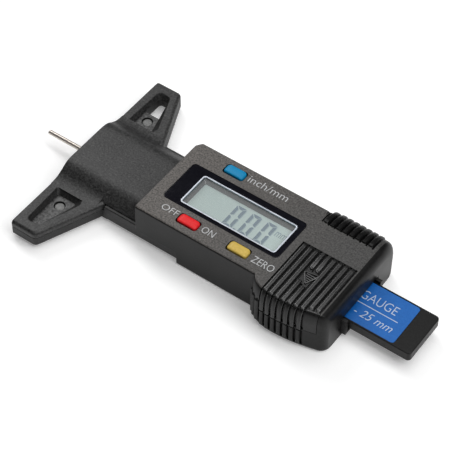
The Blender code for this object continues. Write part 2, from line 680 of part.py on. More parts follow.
def module_cover():
    cover = piece("module_cover", housing_mesh("housing", HOUSING_START, HOUSING_END), "face_grey")
    near = -1.0
    stem_room = STEM_INNER_HALF + GAP
    chamfer = outline_mesh("front_chamfer", [(29.0 * MM, 13.2 * MM), (30.0 * MM, 13.2 * MM), (32.0 * MM, 16.0 * MM),
                                             (32.0 * MM, 18.0 * MM), (29.0 * MM, 18.0 * MM)], -3.0 * MM, 16.0 * MM)
    cut(cover, chamfer)
    below = outline_mesh("front_step", rounded([(28.0 * MM, -4.0 * MM), (STEP_X + MM, -4.0 * MM),
                                                (STEP_X + 1.6 * MM, HOUSING_BOTTOM), (STEP_X, HOUSING_BOTTOM + 2.0 * MM),
                                                (STEP_X, STEP_Z), (28.0 * MM, STEP_Z)], 0.0),
                         -20.0 * MM, 20.0 * MM, "Y")
    room_half = HOUSING_HALF - HOUSING_WALL
    cut(cover, below,
        box_mesh("front_room", (HOUSING_START + HOUSING_WALL, -room_half, STEM_TOP),
                 (BOARD_X[1] + 0.25 * MM, room_half, CEILING)),
        box_mesh("stem_room", (28.0 * MM, -stem_room, -3.0 * MM), (STEM_END + 2.0 * MM, stem_room, STEM_TOP + GAP)),
        box_mesh("tongue_room", (28.0 * MM, -CHANNEL_HALF - GAP, 0.0),
                 (HOUSING_START + 3.0 * MM, CHANNEL_HALF + GAP, 5.9 * MM)),
        box_mesh("under_room", (STEM_END, -room_half, -3.0 * MM), (94.9 * MM, room_half, BAY_FLOOR[0])),
        box_mesh("far_room", (BAY_X[0] - 0.6 * MM, BAY_Y[1] + 2.4 * MM, MM), (94.9 * MM, room_half, CEILING)),
        box_mesh("rear_opening", (94.0 * MM, -BEAM_HALF - GAP, -GAP), (HOUSING_END + MM, BEAM_HALF + GAP, 6.0 * MM)))
    # battery bay and the seat of the battery cover
    cut(cover,
        box_mesh("bay", (BAY_X[0], BAY_Y[0], BAY_FLOOR[1]), (BAY_X[1], BAY_Y[1], 16.0 * MM)),
        box_mesh("cover_seat", (COVER_START - GAP, -25.0 * MM, COVER_UNDERSIDE - GAP),
                 (COVER_END + GAP, COVER_FAR_EDGE + GAP, 16.0 * MM)),
        box_mesh("skirt_seat", (COVER_START - GAP, -25.0 * MM, COVER_SEAM_Z - GAP),
                 (COVER_END + GAP, COVER_SKIRT_Y + GAP, 16.0 * MM)),
        box_mesh("bay_sill", (BAY_X[0], COVER_SKIRT_Y - MM, HOOK_Z[0] - GAP), (BAY_X[1], BAY_Y[0] + MM, 16.0 * MM)),
        box_mesh("negative_slot", (BOARD_X[1], -8.9 * MM, 6.35 * MM), (BAY_X[0] + MM, -6.3 * MM, 7.1 * MM)),
        box_mesh("positive_slot", (BOARD_X[1], -4.9 * MM, 7.0 * MM), (BAY_X[0] + MM, -3.5 * MM, 10.6 * MM)))
    for low, high in HOOKS:
        cut(cover, box_mesh("hook_slot", (low - GAP, BAY_Y[1] - MM, HOOK_Z[0] - GAP),
                            (high + GAP, BAY_Y[1] + 4.2 * MM, HOOK_Z[1] + GAP)))
    # window and button holes
    window = rounded([(BEZEL_X[0] - SMALL_GAP, -BEZEL_HALF - SMALL_GAP), (BEZEL_X[1] + SMALL_GAP, -BEZEL_HALF - SMALL_GAP),
                      (BEZEL_X[1] + SMALL_GAP, BEZEL_HALF + SMALL_GAP), (BEZEL_X[0] - SMALL_GAP, BEZEL_HALF + SMALL_GAP)],
                     1.3 * MM)
    cut(cover,
        outline_mesh("window_seat", window, BEZEL_UNDERSIDE - SMALL_GAP, 16.0 * MM),
        box_mesh("window_hole", (TRIM_X[0] - MM, TRIM_Y[0] - 0.8 * MM, 11.0 * MM),
                 (TRIM_X[1] + 0.8 * MM, TRIM_Y[1] + 1.2 * MM, 16.0 * MM)))
    for name, (x, y) in BUTTONS.items():
        hole = button_outline(x, y, GAP)
        cut(cover, outline_mesh(name + "_hole", hole, 11.0 * MM, 16.0 * MM))
    # bosses for the screws
    for x, y in CASE_SCREWS:
        join(cover, rod_mesh("boss", (x, y, BOSS_BOTTOM), (x, y, BAY_FLOOR[0] + 0.2 * MM if x > 80.0 * MM and y < 0.0
                                                           else CEILING + 0.5 * MM), BOSS_RADIUS))
        cut(cover, rod_mesh("boss_bore", (x, y, 0.0), (x, y, 5.0 * MM), SCREW_BORE_RADIUS, 16))
    for x, y in BOARD_SCREWS:
        join(cover, rod_mesh("post", (x, y, BOARD_Z[1] + GAP), (x, y, CEILING + 0.5 * MM), 1.9 * MM))
        cut(cover, rod_mesh("post_bore", (x, y, BOARD_Z[1]), (x, y, 10.5 * MM), SCREW_BORE_RADIUS, 16))
    # grip ribs
    for index in range(FAR_RIBS):
        x = FAR_RIB_START + index * FAR_RIB_PITCH
        join(cover, rib_mesh("far_rib", x, rib_path(x, 1.0, FAR_RIB_INNER_Y, 0.2 * MM)))
    for index in range(NEAR_RIBS):
        x = NEAR_RIB_START + index * RIB_PITCH
        half = housing_half(x, near)
        path = [(near * half, COVER_SEAM_Z - 0.5 * MM, near, 0.0), (near * half, 0.2 * MM, near, 0.0)]
        join(cover, rib_mesh("near_rib", x, path))
    complete(cover)


def module_back_plate():
    half = HOUSING_HALF - HOUSING_WALL - GAP
    flat = rounded([(STEM_END + 0.6 * MM, -half), (94.6 * MM, -half), (94.6 * MM, half), (STEM_END + 0.6 * MM, half)],
                   0.6 * MM)
    plate = piece("module_back_plate", outline_mesh("plate", flat, HOUSING_BOTTOM, PLATE_TOP), "textured_black")
    for x, y in CASE_SCREWS:
        join(plate, rod_mesh("pad", (x, y, -0.9 * MM), (x, y, BOSS_BOTTOM - GAP), BOSS_RADIUS, 24))
        cut(plate,
            rod_mesh("head_seat", (x, y, -3.0 * MM), (x, y, PLATE_TOP - 0.25 * MM), HEAD_RADIUS + GAP, 24),
            rod_mesh("screw_hole", (x, y, -3.0 * MM), (x, y, 3.0 * MM), SCREW_BORE_RADIUS, 16))
    complete(plate)


def battery_cover():
    cover = piece("battery_cover", housing_mesh("ribbed_cover", COVER_START, COVER_END), "gloss_black")
    cut(cover,
        box_mesh("under", (70.0 * MM, COVER_SKIRT_Y, -5.0 * MM), (100.0 * MM, 25.0 * MM, COVER_UNDERSIDE)),
        box_mesh("beyond", (70.0 * MM, COVER_FAR_EDGE, -5.0 * MM), (100.0 * MM, 25.0 * MM, 16.0 * MM)),
        box_mesh("below", (70.0 * MM, -25.0 * MM, -5.0 * MM), (100.0 * MM, 25.0 * MM, COVER_SEAM_Z)))
    for index in range(NEAR_RIBS):
        x = NEAR_RIB_START + index * RIB_PITCH
        path = rib_path(x, -1.0, -COVER_FAR_EDGE + 0.2 * MM, COVER_SEAM_Z + 0.05 * MM)
        join(cover, rib_mesh("rib", x, path))
    pad = [(81.6 * MM, -6.0 * MM), (84.8 * MM, -11.2 * MM), (87.6 * MM, -5.6 * MM)]
    arrow = [(82.6 * MM, -6.7 * MM), (84.9 * MM, -10.1 * MM), (86.6 * MM, -6.5 * MM)]
    join(cover, outline_mesh("arrow_pad", rounded(pad, 0.5 * MM, 3), 13.6 * MM, HOUSING_TOP + RIB_HEIGHT))
    cut(cover, outline_mesh("arrow", arrow, HOUSING_TOP + 0.15 * MM, 16.0 * MM))
    for low, high in HOOKS:
        join(cover,
             box_mesh("hook_root", (low, -1.6 * MM, HOOK_Z[0]), (high, -0.1 * MM, 13.2 * MM)),
             box_mesh("hook", (low, -1.0 * MM, HOOK_Z[0]), (high, 3.7 * MM, HOOK_Z[1])))
    complete(cover, (CELL_X, COVER_SKIRT_Y, HOUSING_TOP))


# ---- display -------------------------------------------------------------------------------------------

def window_parts():
    flat = rounded([(BEZEL_X[0], -BEZEL_HALF), (BEZEL_X[1], -BEZEL_HALF), (BEZEL_X[1], BEZEL_HALF),
                    (BEZEL_X[0], BEZEL_HALF)], 1.2 * MM)
    bezel = piece("window_bezel", outline_mesh("bezel", flat, BEZEL_UNDERSIDE, HOUSING_TOP), "gloss_black")
    room = 0.15 * MM
    cut(bezel, outline_mesh("aperture", trim_outline(-room), 12.0 * MM, 16.0 * MM))
    complete(bezel)
    trim = piece("window_trim", outline_mesh("trim", trim_outline(0.0), 13.1 * MM, HOUSING_TOP + 0.1 * MM), "silver")
    cut(trim, outline_mesh("trim_hole", trim_outline(TRIM_WIDTH), 12.0 * MM, 16.0 * MM))
    complete(trim)
    lens = piece("display_lens", outline_mesh("lens", trim_outline(TRIM_WIDTH + room), 13.2 * MM, 13.6 * MM), "clear")
    complete(lens)
    glass = piece("lcd_glass", box_mesh("lcd", (LCD_X[0], LCD_Y[0], LCD_Z[0]), (LCD_X[1], LCD_Y[1], LCD_Z[1])), "lcd")
    complete(glass)
    for name, y in (("zebra_strip_near", -7.2 * MM), ("zebra_strip_far", 6.6 * MM)):
        strip = piece(name, box_mesh(name, (39.0 * MM, y - 0.8 * MM, BOARD_Z[1] + SMALL_GAP),
                                     (71.0 * MM, y + 0.8 * MM, LCD_Z[0] - SMALL_GAP)), "elastomer")
        complete(strip)


def trim_outline(inset):
    """The rounded rectangle of the display opening, made smaller by inset."""
    corners = [(TRIM_X[0] + inset, TRIM_Y[0] + inset), (TRIM_X[1] - inset, TRIM_Y[0] + inset),
               (TRIM_X[1] - inset, TRIM_Y[1] - inset), (TRIM_X[0] + inset, TRIM_Y[1] - inset)]
    return rounded(corners, MM - inset * 0.8)


# ---- buttons --------------------------------------------------------------------------------------------

def button_outline(x, y, extra):
    """A button's rounded rectangle at x, y, made larger by extra on every side."""
    reach = BUTTON_LENGTH / 2.0 + extra
    width = BUTTON_WIDTH / 2.0 + extra
    return rounded([(x - reach, y - width), (x + reach, y - width), (x + reach, y + width), (x - reach, y + width)],
                   0.9 * MM)


def buttons():
    colours = {"blue_unit_button": "button_blue", "red_power_button": "button_red",
               "yellow_zero_button": "button_yellow"}
    for name, (x, y) in BUTTONS.items():
        holder = empty(name + "_axis", (x, y, HOUSING_TOP), gauge_datum)
        cap = piece(name, outline_mesh(name, button_outline(x, y, 0.0), BUTTON_FLANGE[0] + 0.1 * MM, BUTTON_TOP),
                    colours[name], holder)
        bevel(cap, 0.5 * MM, 2, 60.0)
        join(cap,
             outline_mesh("flange", button_outline(x, y, 0.75 * MM), BUTTON_FLANGE[0], BUTTON_FLANGE[1]),
             box_mesh("stem", (x - 1.2 * MM, y - 0.8 * MM, BUTTON_STEM_BOTTOM),
                      (x + 1.2 * MM, y + 0.8 * MM, BUTTON_FLANGE[0] + 0.3 * MM)))
        complete(cap, (x, y, HOUSING_TOP))
        base = BOARD_Z[1] + SMALL_GAP
        dome_profile = [(0.0, base + 0.42 * MM), (0.9 * MM, base + 0.38 * MM), (1.8 * MM, base + 0.15 * MM),
                        (2.0 * MM, base), (1.7 * MM, base), (0.9 * MM, base + 0.22 * MM), (0.0, base + 0.27 * MM)]
        dome_name = name.split("_")[0] + "_button_dome"
        dome = piece(dome_name, turned_mesh(dome_name, dome_profile, (x, y, 0.0)), "steel")
        complete(dome, (x, y, base))


# ---- electronics and battery ------------------------------------------------------------------------------

def circuit_board():
    flat = rounded([(BOARD_X[0], -BOARD_HALF), (BOARD_X[1], -BOARD_HALF), (BOARD_X[1], BOARD_HALF),
                    (BOARD_X[0], BOARD_HALF)], 0.8 * MM, 2)
    board = piece("circuit_board", outline_mesh("board", flat, BOARD_Z[0], BOARD_Z[1]), "board_green")
    for x, y in CASE_SCREWS[:2]:
        cut(board, rod_mesh("boss_hole", (x, y, 0.0), (x, y, 9.0 * MM), BOSS_RADIUS + GAP))
    for x, y in BOARD_SCREWS:
        cut(board, rod_mesh("screw_hole", (x, y, 0.0), (x, y, 9.0 * MM), SCREW_BORE_RADIUS, 16))
    complete(board)
    chip = piece("processor_chip", box_mesh("chip", (48.0 * MM, -3.2 * MM, BOARD_Z[1] + SMALL_GAP),
                                            (55.0 * MM, 3.2 * MM, 8.5 * MM)), "epoxy_black")
    bevel(chip, 0.4 * MM, 2)
    complete(chip, (51.5 * MM, 0.0, BOARD_Z[1]))


def coin_cell():
    low, high = CELL_Z
    profile = [(0.0, high), (5.5 * MM, high), (CELL_RADIUS, high - 0.3 * MM), (CELL_RADIUS, low + 0.5 * MM),
               (5.3 * MM, low + 0.25 * MM), (4.9 * MM, low), (0.0, low)]
    cell = piece("coin_cell", turned_mesh("cell", profile, (CELL_X, CELL_Y, 0.0), 40), "steel")
    complete(cell, (CELL_X, CELL_Y, low))


def battery_contacts():
    negative_flat = rounded([(BOARD_X[1] + GAP, -8.6 * MM), (86.0 * MM, -8.6 * MM), (87.5 * MM, -7.6 * MM),
                             (86.0 * MM, -6.6 * MM), (BOARD_X[1] + GAP, -6.6 * MM)], 0.0)
    negative = piece("battery_contact_negative", outline_mesh("negative", negative_flat, 6.6 * MM, 6.8 * MM), "bronze")
    complete(negative, (BOARD_X[1], -7.6 * MM, 6.6 * MM))
    thick = 0.25 * MM
    front = BOARD_X[1] + GAP
    bend = 78.6 * MM
    positive_flat = [(front, -4.35 * MM), (bend - thick, -4.35 * MM), (bend - thick, -10.8 * MM), (bend, -10.8 * MM),
                     (bend, -4.35 * MM + thick), (front, -4.35 * MM + thick)]
    positive = piece("battery_contact_positive", outline_mesh("positive", positive_flat, 7.3 * MM, 10.3 * MM),
                     "bronze")
    complete(positive, (front, -4.35 * MM, 7.3 * MM))


def screws():
    for number, (x, y) in enumerate(CASE_SCREWS, 1):
        head = -1.15 * MM
        under = PLATE_TOP - 0.45 * MM
        profile = [(0.0, 4.6 * MM), (0.4 * MM, 4.6 * MM), (SHANK_RADIUS, 4.0 * MM), (SHANK_RADIUS, under),
                   (HEAD_RADIUS, under), (HEAD_RADIUS, head + 0.25 * MM), (1.2 * MM, head), (0.0, head)]
        screw = piece("case_screw_%d" % number, turned_mesh("screw", profile, (x, y, 0.0), 16), "steel")
        complete(screw, (x, y, head))
    for number, (x, y) in enumerate(BOARD_SCREWS, 1):
        under = BOARD_Z[0] - SMALL_GAP
        head = under - 0.8 * MM
        profile = [(0.0, 10.0 * MM), (0.4 * MM, 10.0 * MM), (SHANK_RADIUS, 9.4 * MM), (SHANK_RADIUS, under),
                   (HEAD_RADIUS, under), (HEAD_RADIUS, head + 0.3 * MM), (1.2 * MM, head), (0.0, head)]
        screw = piece("board_screw_%d" % number, turned_mesh("screw", profile, (x, y, 0.0), 16), "steel")
        complete(screw, (x, y, head))


foot_lower_shell()
foot_upper_shell()
wing_studs()
probe_pin()
measuring_tongue()
tongue_cards()
friction_spring()
module_cover()
module_back_plate()
battery_cover()
window_parts()
buttons()
circuit_board()
coin_cell()
battery_contacts()
screws()
bpy.context.view_layer.update()
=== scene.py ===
import math

import bmesh
import bpy
from mathutils import Matrix, Vector


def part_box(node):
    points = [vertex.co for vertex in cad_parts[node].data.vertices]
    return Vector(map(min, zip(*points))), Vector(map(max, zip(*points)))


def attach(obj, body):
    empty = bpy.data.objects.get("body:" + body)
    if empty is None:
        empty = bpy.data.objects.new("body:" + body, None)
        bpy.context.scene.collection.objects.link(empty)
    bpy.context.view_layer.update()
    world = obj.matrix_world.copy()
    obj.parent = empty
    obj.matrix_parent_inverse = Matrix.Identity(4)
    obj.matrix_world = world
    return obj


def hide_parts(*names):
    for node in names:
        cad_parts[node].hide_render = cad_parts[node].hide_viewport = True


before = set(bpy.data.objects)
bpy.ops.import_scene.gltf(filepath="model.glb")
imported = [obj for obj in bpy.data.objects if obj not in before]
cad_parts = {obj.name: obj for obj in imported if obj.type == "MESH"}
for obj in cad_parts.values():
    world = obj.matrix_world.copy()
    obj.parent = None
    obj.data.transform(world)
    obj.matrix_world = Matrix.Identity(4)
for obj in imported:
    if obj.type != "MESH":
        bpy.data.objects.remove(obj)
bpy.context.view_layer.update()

MM = 0.001

# Everything is drawn in millimetres from the foot's datum: x = 0 on the foot's front face, y = 0 on the
# centre line, z = 0 at the foot's underside. TO_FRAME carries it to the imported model's frame.
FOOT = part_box("foot_lower_shell")[0]
TO_FRAME = Matrix.Translation((FOOT.x, 0.0, FOOT.z)) @ Matrix.Scale(MM, 4)
FROM_FRAME = TO_FRAME.inverted()


def mm_box(node):
    """A CAD node's lowest and highest corners in millimetres from the foot's datum."""
    low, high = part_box(node)
    return FROM_FRAME @ low, FROM_FRAME @ high


# ---- shapes ----

def rounded(corners, radii, steps=6):
    """An anticlockwise outline whose corners are replaced by arcs. A radius of 0 keeps a corner sharp."""
    points = []
    count = len(corners)
    for index, corner in enumerate(corners):
        here = Vector(corner)
        radius = radii[index] if isinstance(radii, (list, tuple)) else radii
        if radius <= 0.0:
            points.append(tuple(here))
            continue
        before = (Vector(corners[index - 1]) - here).normalized()
        after = (Vector(corners[(index + 1) % count]) - here).normalized()
        half_angle = before.angle(after) / 2.0
        reach = radius / math.tan(half_angle)
        centre = here + (before + after).normalized() * radius / math.sin(half_angle)
        first = here + before * reach - centre
        sweep = first.angle_signed(here + after * reach - centre)
        for step in range(steps + 1):
            angle = -sweep * step / steps
            points.append((centre.x + first.x * math.cos(angle) - first.y * math.sin(angle),
                           centre.y + first.x * math.sin(angle) + first.y * math.cos(angle)))
    return points


def rectangle(x0, y0, x1, y1, radius, steps=6):
    return rounded([(x0, y0), (x1, y0), (x1, y1), (x0, y1)], radius, steps)


def loft(form, rings):
    """Adds a closed solid through rings that have the same number of points."""
    rows = [[form.verts.new(point) for point in ring] for ring in rings]
    size = len(rows[0])
    for row, following in zip(rows, rows[1:]):
        for index in range(size):
            after = (index + 1) % size
            form.faces.new((row[index], row[after], following[after], following[index]))
    form.faces.new(rows[0])
    form.faces.new(list(reversed(rows[-1])))
    return form


def prism(form, outline, low, high, along="Z"):
    """Adds an outline with a thickness. Along Z it is (x, y), along X (y, z) and along Y (x, z)."""
    def point(a, b, c):
        return {"Z": (a, b, c), "X": (c, a, b), "Y": (a, c, b)}[along]
    return loft(form, [[point(a, b, c) for a, b in outline] for c in (low, high)])


def quarter_turn(steps):
    """The (sine, cosine) pairs of even steps from 0 to a right angle."""
    angles = [math.pi / 2.0 * step / steps for step in range(steps + 1)]
    return [(math.sin(angle), math.cos(angle)) for angle in angles]


def circle(radius, sides):
    angles = [2.0 * math.pi * side / sides for side in range(sides)]
    return [(radius * math.cos(angle), radius * math.sin(angle)) for angle in angles]


def soft_prism(form, outline_at, low, high, bottom, top, steps=4, top_steps=None):
    """Adds an upright solid whose bottom and top edges are rounded. outline_at(inset) gives the outline."""
    lower = [(bottom * (1.0 - sine), low + bottom * (1.0 - cosine)) for sine, cosine in quarter_turn(steps)]
    upper = [(top * (1.0 - cosine), high - top * (1.0 - sine))
             for sine, cosine in quarter_turn(top_steps or steps)]
    rings = (lower if bottom > 0.0 else lower[-1:]) + (upper if top > 0.0 else upper[:1])
    return loft(form, [[(x, y, z) for x, y in outline_at(inset)] for inset, z in rings])


def slab(form, x0, x1, y0, y1, z0, z1, edge=0.0, corner=0.0):
    """Adds a box, with rounded top and bottom edges where edge is given and rounded upright corners."""
    def outline_at(inset):
        return rectangle(x0 + inset, y0 + inset, x1 - inset, y1 - inset, max(corner - inset * 0.5, 0.0), 4)
    return soft_prism(form, outline_at, z0, z1, edge, edge, 3)


def turned(form, profile, x, y, sides):
    """Adds a (radius, z) profile, listed from the bottom up, turned about the upright axis at (x, y)."""
    return loft(form, [[(x + across, y + along, z) for across, along in circle(radius, sides)]
                       for radius, z in profile])


def rod(form, start, end, radius, sides):
    """Adds a round bar between two points."""
    turn = (Vector(end) - Vector(start)).to_track_quat("Z", "Y")
    return loft(form, [[Vector(place) + turn @ Vector((x, y, 0.0)) for x, y in circle(radius, sides)]
                       for place in (start, end)])


def mesh_from(form, name):
    bmesh.ops.recalc_face_normals(form, faces=form.faces)
    mesh = bpy.data.meshes.new(name)
    form.to_mesh(mesh)
    form.free()
    return mesh


def put_in_scene(thing):
    bpy.context.scene.collection.objects.link(thing)
    return thing


def evaluated_mesh(thing):
    """An object's mesh with its modifiers applied, or the mesh of a text object."""
    bpy.context.view_layer.update()
    return bpy.data.meshes.new_from_object(thing.evaluated_get(bpy.context.evaluated_depsgraph_get()))


def shaped(steps):
    """A mesh form made by shape calls, each a (function, arguments...) list."""
    form = bmesh.new()
    for step in steps:
        step[0](form, *step[1:])
    return form


def build(name, *steps):
    """A new object in millimetres, made by the given shape calls."""
    return put_in_scene(bpy.data.objects.new(name, mesh_from(shaped(steps), name)))


def carve(thing, *steps, operation="DIFFERENCE"):
    """Cuts the given shapes from an object, or joins them to it, one after the other."""
    for step in steps:
        other = build("carver", step)
        change = thing.modifiers.new("carve", "BOOLEAN")
        change.operation = operation
        change.solver = "EXACT"
        change.object = other
        result = evaluated_mesh(thing)
        thing.modifiers.clear()
        thing.data = result
        bpy.data.objects.remove(other, do_unlink=True)


def add(thing, *steps):
    """Adds shapes to an object as they are, without cutting them into it."""
    form = shaped(steps)
    bmesh.ops.recalc_face_normals(form, faces=form.faces)
    form.from_mesh(thing.data)
    form.to_mesh(thing.data)
    form.free()


def absorb(thing, other):
    """Moves another object's mesh into this one as it is."""
    form = bmesh.new()
    form.from_mesh(thing.data)
    form.from_mesh(other.data)
    form.to_mesh(thing.data)
    form.free()
    bpy.data.objects.remove(other, do_unlink=True)


def finish_piece(thing, body, finish, nodes=(), sharp=38.0):
    """Carries a piece to the frame, gives it its finish, and lets it ride on its body."""
    thing.data.transform(TO_FRAME)
    thing.data.name = thing.name
    thing.data.shade_smooth()
    thing.data.set_sharp_from_angle(angle=math.radians(sharp))
    even = thing.modifiers.new("even_normals", "WEIGHTED_NORMAL")
    even.keep_sharp = True
    even.weight = 90
    thing.data.materials.clear()
    thing.data.materials.append(finish)
    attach(thing, body)
    if nodes:
        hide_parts(*nodes)


def piece(name, shape, body, slot, finish, nodes=(), sharp=38.0):
    """Builds one shape and finishes it as a piece."""
    finish_piece(build(name, shape), body, finish, nodes, sharp)


def second_finish(thing, finish, rule):
    """Gives another finish to the faces of a piece for which rule(centre, normal) holds, in millimetres."""
    thing.data.materials.append(finish)
    for face in thing.data.polygons:
        if rule(FROM_FRAME @ face.center, face.normal):
            face.material_index = len(thing.data.materials) - 1


# ---- finishes ----

def new_finish(name):
    finish = bpy.data.materials.new(name)
    finish.use_nodes = True
    tree = finish.node_tree
    return finish, tree, tree.nodes["Principled BSDF"], shader_node(tree, "TexCoord", {})["Object"]


def feed(tree, made, inputs):
    """Feeds a shader node's inputs: each is a socket to link or a value to set."""
    for key, value in inputs.items():
        if isinstance(value, bpy.types.NodeSocket):
            tree.links.new(value, made.inputs[key])
        else:
            made.inputs[key].default_value = value


def shader_node(tree, kind, inputs, **choices):
    """Adds a shader node and gives its outputs."""
    made = tree.nodes.new("ShaderNode" + kind)
    for key, value in choices.items():
        setattr(made, key, value)
    feed(tree, made, inputs)
    return made.outputs


def noise(tree, place, scale, detail=3.0, roughness=0.55):
    inputs = {"Vector": place, "Scale": scale, "Detail": detail, "Roughness": roughness}
    return shader_node(tree, "TexNoise", inputs)["Fac"]


def ramp(tree, value, low, high, first, last):
    """Maps value from low..high to the colours first..last. A plain number is a grey."""
    made = tree.nodes.new("ShaderNodeValToRGB")
    for element, place, colour in zip(made.color_ramp.elements, (low, high), (first, last)):
        element.position = place
        element.color = (*colour, 1.0) if isinstance(colour, tuple) else (colour, colour, colour, 1.0)
    tree.links.new(value, made.inputs["Fac"])
    return made.outputs["Color"]


def remap(tree, value, low, high, first, last):
    inputs = {"Value": value, "From Min": low, "From Max": high, "To Min": first, "To Max": last}
    return shader_node(tree, "MapRange", inputs)["Result"]


def mix(tree, factor, first, second, blend="MIX"):
    return shader_node(tree, "Mix", {0: factor, 6: first, 7: second}, data_type="RGBA", blend_type=blend)[2]


def bump(tree, shader, height, strength, distance, under=None):
    inputs = {"Height": height, "Strength": strength, "Distance": distance}
    if under is not None:
        inputs["Normal"] = under
    normal = shader_node(tree, "Bump", inputs)["Normal"]
    tree.links.new(normal, shader.inputs["Normal"])
    return normal


def surface(tree, shader, colour, roughness):
    feed(tree, shader, {"Base Color": colour, "Roughness": roughness})


def along_x(tree, place, start, end):
    """A value that rises from 0 at start to 1 at end, both in metres along X."""
    return remap(tree, shader_node(tree, "SeparateXYZ", {"Vector": place})["X"], start, end, 0.0, 1.0)


def bands(tree, place, direction, scale, distortion, detail):
    """Parallel bands that swing between dark and light."""
    inputs = {"Vector": place, "Scale": scale, "Distortion": distortion, "Detail": detail}
    return shader_node(tree, "TexWave", inputs, bands_direction=direction)["Fac"]


def moulded(name, dark, light, rough, grain, relief, specular=0.5, speck=0.0, painted_falloff=None):
    """Moulded plastic: spark-eroded grain, faint cloudiness and slightly uneven gloss.

    speck is the strength of pale flecks. fade is a painted shade that stands in for light falling off along
    X: where it starts along X, where it ends, and its colour."""
    finish, tree, shader, place = new_finish(name)
    fine = noise(tree, place, grain, 2.0, 0.6)
    cloud = noise(tree, place, 90.0, 3.0, 0.5)
    colour = mix(tree, 1.0, ramp(tree, fine, 0.34, 0.68, dark, light),
                 ramp(tree, cloud, 0.3, 0.7, 0.86, 1.0), "MULTIPLY")
    if speck:
        flecks = ramp(tree, noise(tree, place, grain * 0.62, 1.0, 0.5), 0.60, 0.72, 0.0, 1.0)
        colour = mix(tree, flecks, colour, mix(tree, speck, colour, (0.42, 0.41, 0.39, 1.0)))
    # painted shade: darkens the colour along X, standing in for light falling off towards the rear
    if painted_falloff:
        start, end, shade = painted_falloff
        painted_shades = ramp(tree, along_x(tree, place, start, end), 0.0, 1.0, 1.0, shade)
        colour = mix(tree, 1.0, colour, painted_shades, "MULTIPLY")
    surface(tree, shader, colour, remap(tree, cloud, 0.3, 0.7, rough - 0.04, rough + 0.05))
    shader.inputs["Specular IOR Level"].default_value = specular
    broad = bump(tree, shader, noise(tree, place, 240.0, 2.0, 0.5), 0.10, 0.00012)
    bump(tree, shader, fine, relief, 0.00006, broad)
    return finish


def metal(name, dark, light, rough, stretch=(1.0, 1.0, 1.0), scale=1600.0, relief=0.15):
    """Bare or plated metal with a drawn or turned grain."""
    finish, tree, shader, place = new_finish(name)
    squeezed = shader_node(tree, "Mapping", {"Vector": place, "Scale": stretch})["Vector"]
    grain = noise(tree, squeezed, scale, 3.0, 0.6)
    stain = noise(tree, place, 260.0, 4.0, 0.6)
    colour = mix(tree, 0.35, ramp(tree, grain, 0.35, 0.65, dark, light),
                 ramp(tree, stain, 0.35, 0.7, dark, light))
    surface(tree, shader, colour, remap(tree, grain, 0.3, 0.7, rough * 0.8, rough * 1.25))
    shader.inputs["Metallic"].default_value = 1.0
    bump(tree, shader, grain, relief, 0.00003)
    return finish


def printed(name, colour, lighter, rough):
    """Screen print: nearly even ink with a slightly broken surface."""
    finish, tree, shader, place = new_finish(name)
    wear = noise(tree, place, 1500.0, 4.0, 0.65)
    surface(tree, shader, ramp(tree, wear, 0.35, 0.7, colour, lighter),
            remap(tree, wear, 0.3, 0.7, rough, rough + 0.12))
    bump(tree, shader, wear, 0.12, 0.00002)
    return finish


BLACK = moulded("black_moulded_plastic", 0.006, 0.020, 0.50, 2300.0, 0.55, 0.38)
HUMP = moulded("black_spark_plastic", 0.002, 0.042, 0.48, 1900.0, 0.90, 0.46, 0.05)
# painted light: a lighter copy of the spark plastic for the pocket floors, standing in for light in the
# recess; the grain and flecks are moulded texture
POCKET_FLOOR_LIGHT_PAINT = moulded("pocket_floor_painted_light_plastic", 0.006, 0.105, 0.46, 1500.0, 1.0, 0.5, 0.08)
# painted light: a lighter grey copy of the housing's black plastic for its top faces only, as if lit from
# above; its grain and flecks are the moulded texture
# painted shade: the last argument darkens the face towards the rear, standing in for the light falling off
# there
LIT_TOP_FACE = moulded("speckled_plastic_painted_top_light", (0.034, 0.030, 0.027), (0.152, 0.137, 0.125), 0.48, 1900.0, 0.60, 0.5,
               0.06, (-0.010, 0.036, (0.46, 0.50, 0.53)))
GLOSS = moulded("gloss_black_plastic", 0.004, 0.008, 0.34, 1600.0, 0.06, 0.20)
SLIDE = moulded("slide_black_plastic", 0.002, 0.007, 0.42, 2100.0, 0.30, 0.24)
RIBBED = moulded("ribbed_black_plastic", 0.005, 0.011, 0.25, 1500.0, 0.05, 0.65)
# painted shade: a darker copy of the ribbed plastic for the cover's near side faces; its rougher, less glossy
# surface is part of the finish
RIBBED_SHADED_SIDE = moulded("ribbed_side_painted_shade_plastic", 0.003, 0.008, 0.36, 1500.0, 0.10, 0.30)
# painted highlight: a lighter grey copy of the black plastic for the arrow's upward faces, standing in for
# the light its raised edges catch
ARROW_PAINTED_HIGHLIGHT = moulded("arrow_painted_highlight_plastic", 0.045, 0.085, 0.30, 1500.0, 0.10, 0.60)
WINDOW = moulded("window_black", (0.004, 0.004, 0.007), (0.007, 0.007, 0.011), 0.07, 900.0, 0.01, 0.45)
STUD = moulded("grey_stud_plastic", (0.110, 0.112, 0.110), (0.210, 0.210, 0.206), 0.46, 1900.0, 0.4)
BLUE = moulded("blue_button_plastic", (0.002, 0.235, 0.480), (0.003, 0.275, 0.540), 0.42, 1500.0, 0.20, 0.25)
RED = moulded("red_button_plastic", (0.780, 0.012, 0.016), (0.880, 0.022, 0.026), 0.42, 1500.0, 0.20, 0.25)
YELLOW = moulded("yellow_button_plastic", (0.640, 0.450, 0.085), (0.730, 0.520, 0.120), 0.42, 1500.0, 0.20,
                 0.25)
CHIP = moulded("chip_epoxy", (0.010, 0.010, 0.011), (0.020, 0.020, 0.021), 0.42, 2200.0, 0.35)
ELASTOMER = moulded("zebra_elastomer", (0.48, 0.30, 0.31), (0.62, 0.42, 0.43), 0.62, 1400.0, 0.3)
STEEL = metal("ground_steel", (0.50, 0.45, 0.40), (0.70, 0.65, 0.60), 0.36, (0.06, 1.0, 1.0), 2600.0)
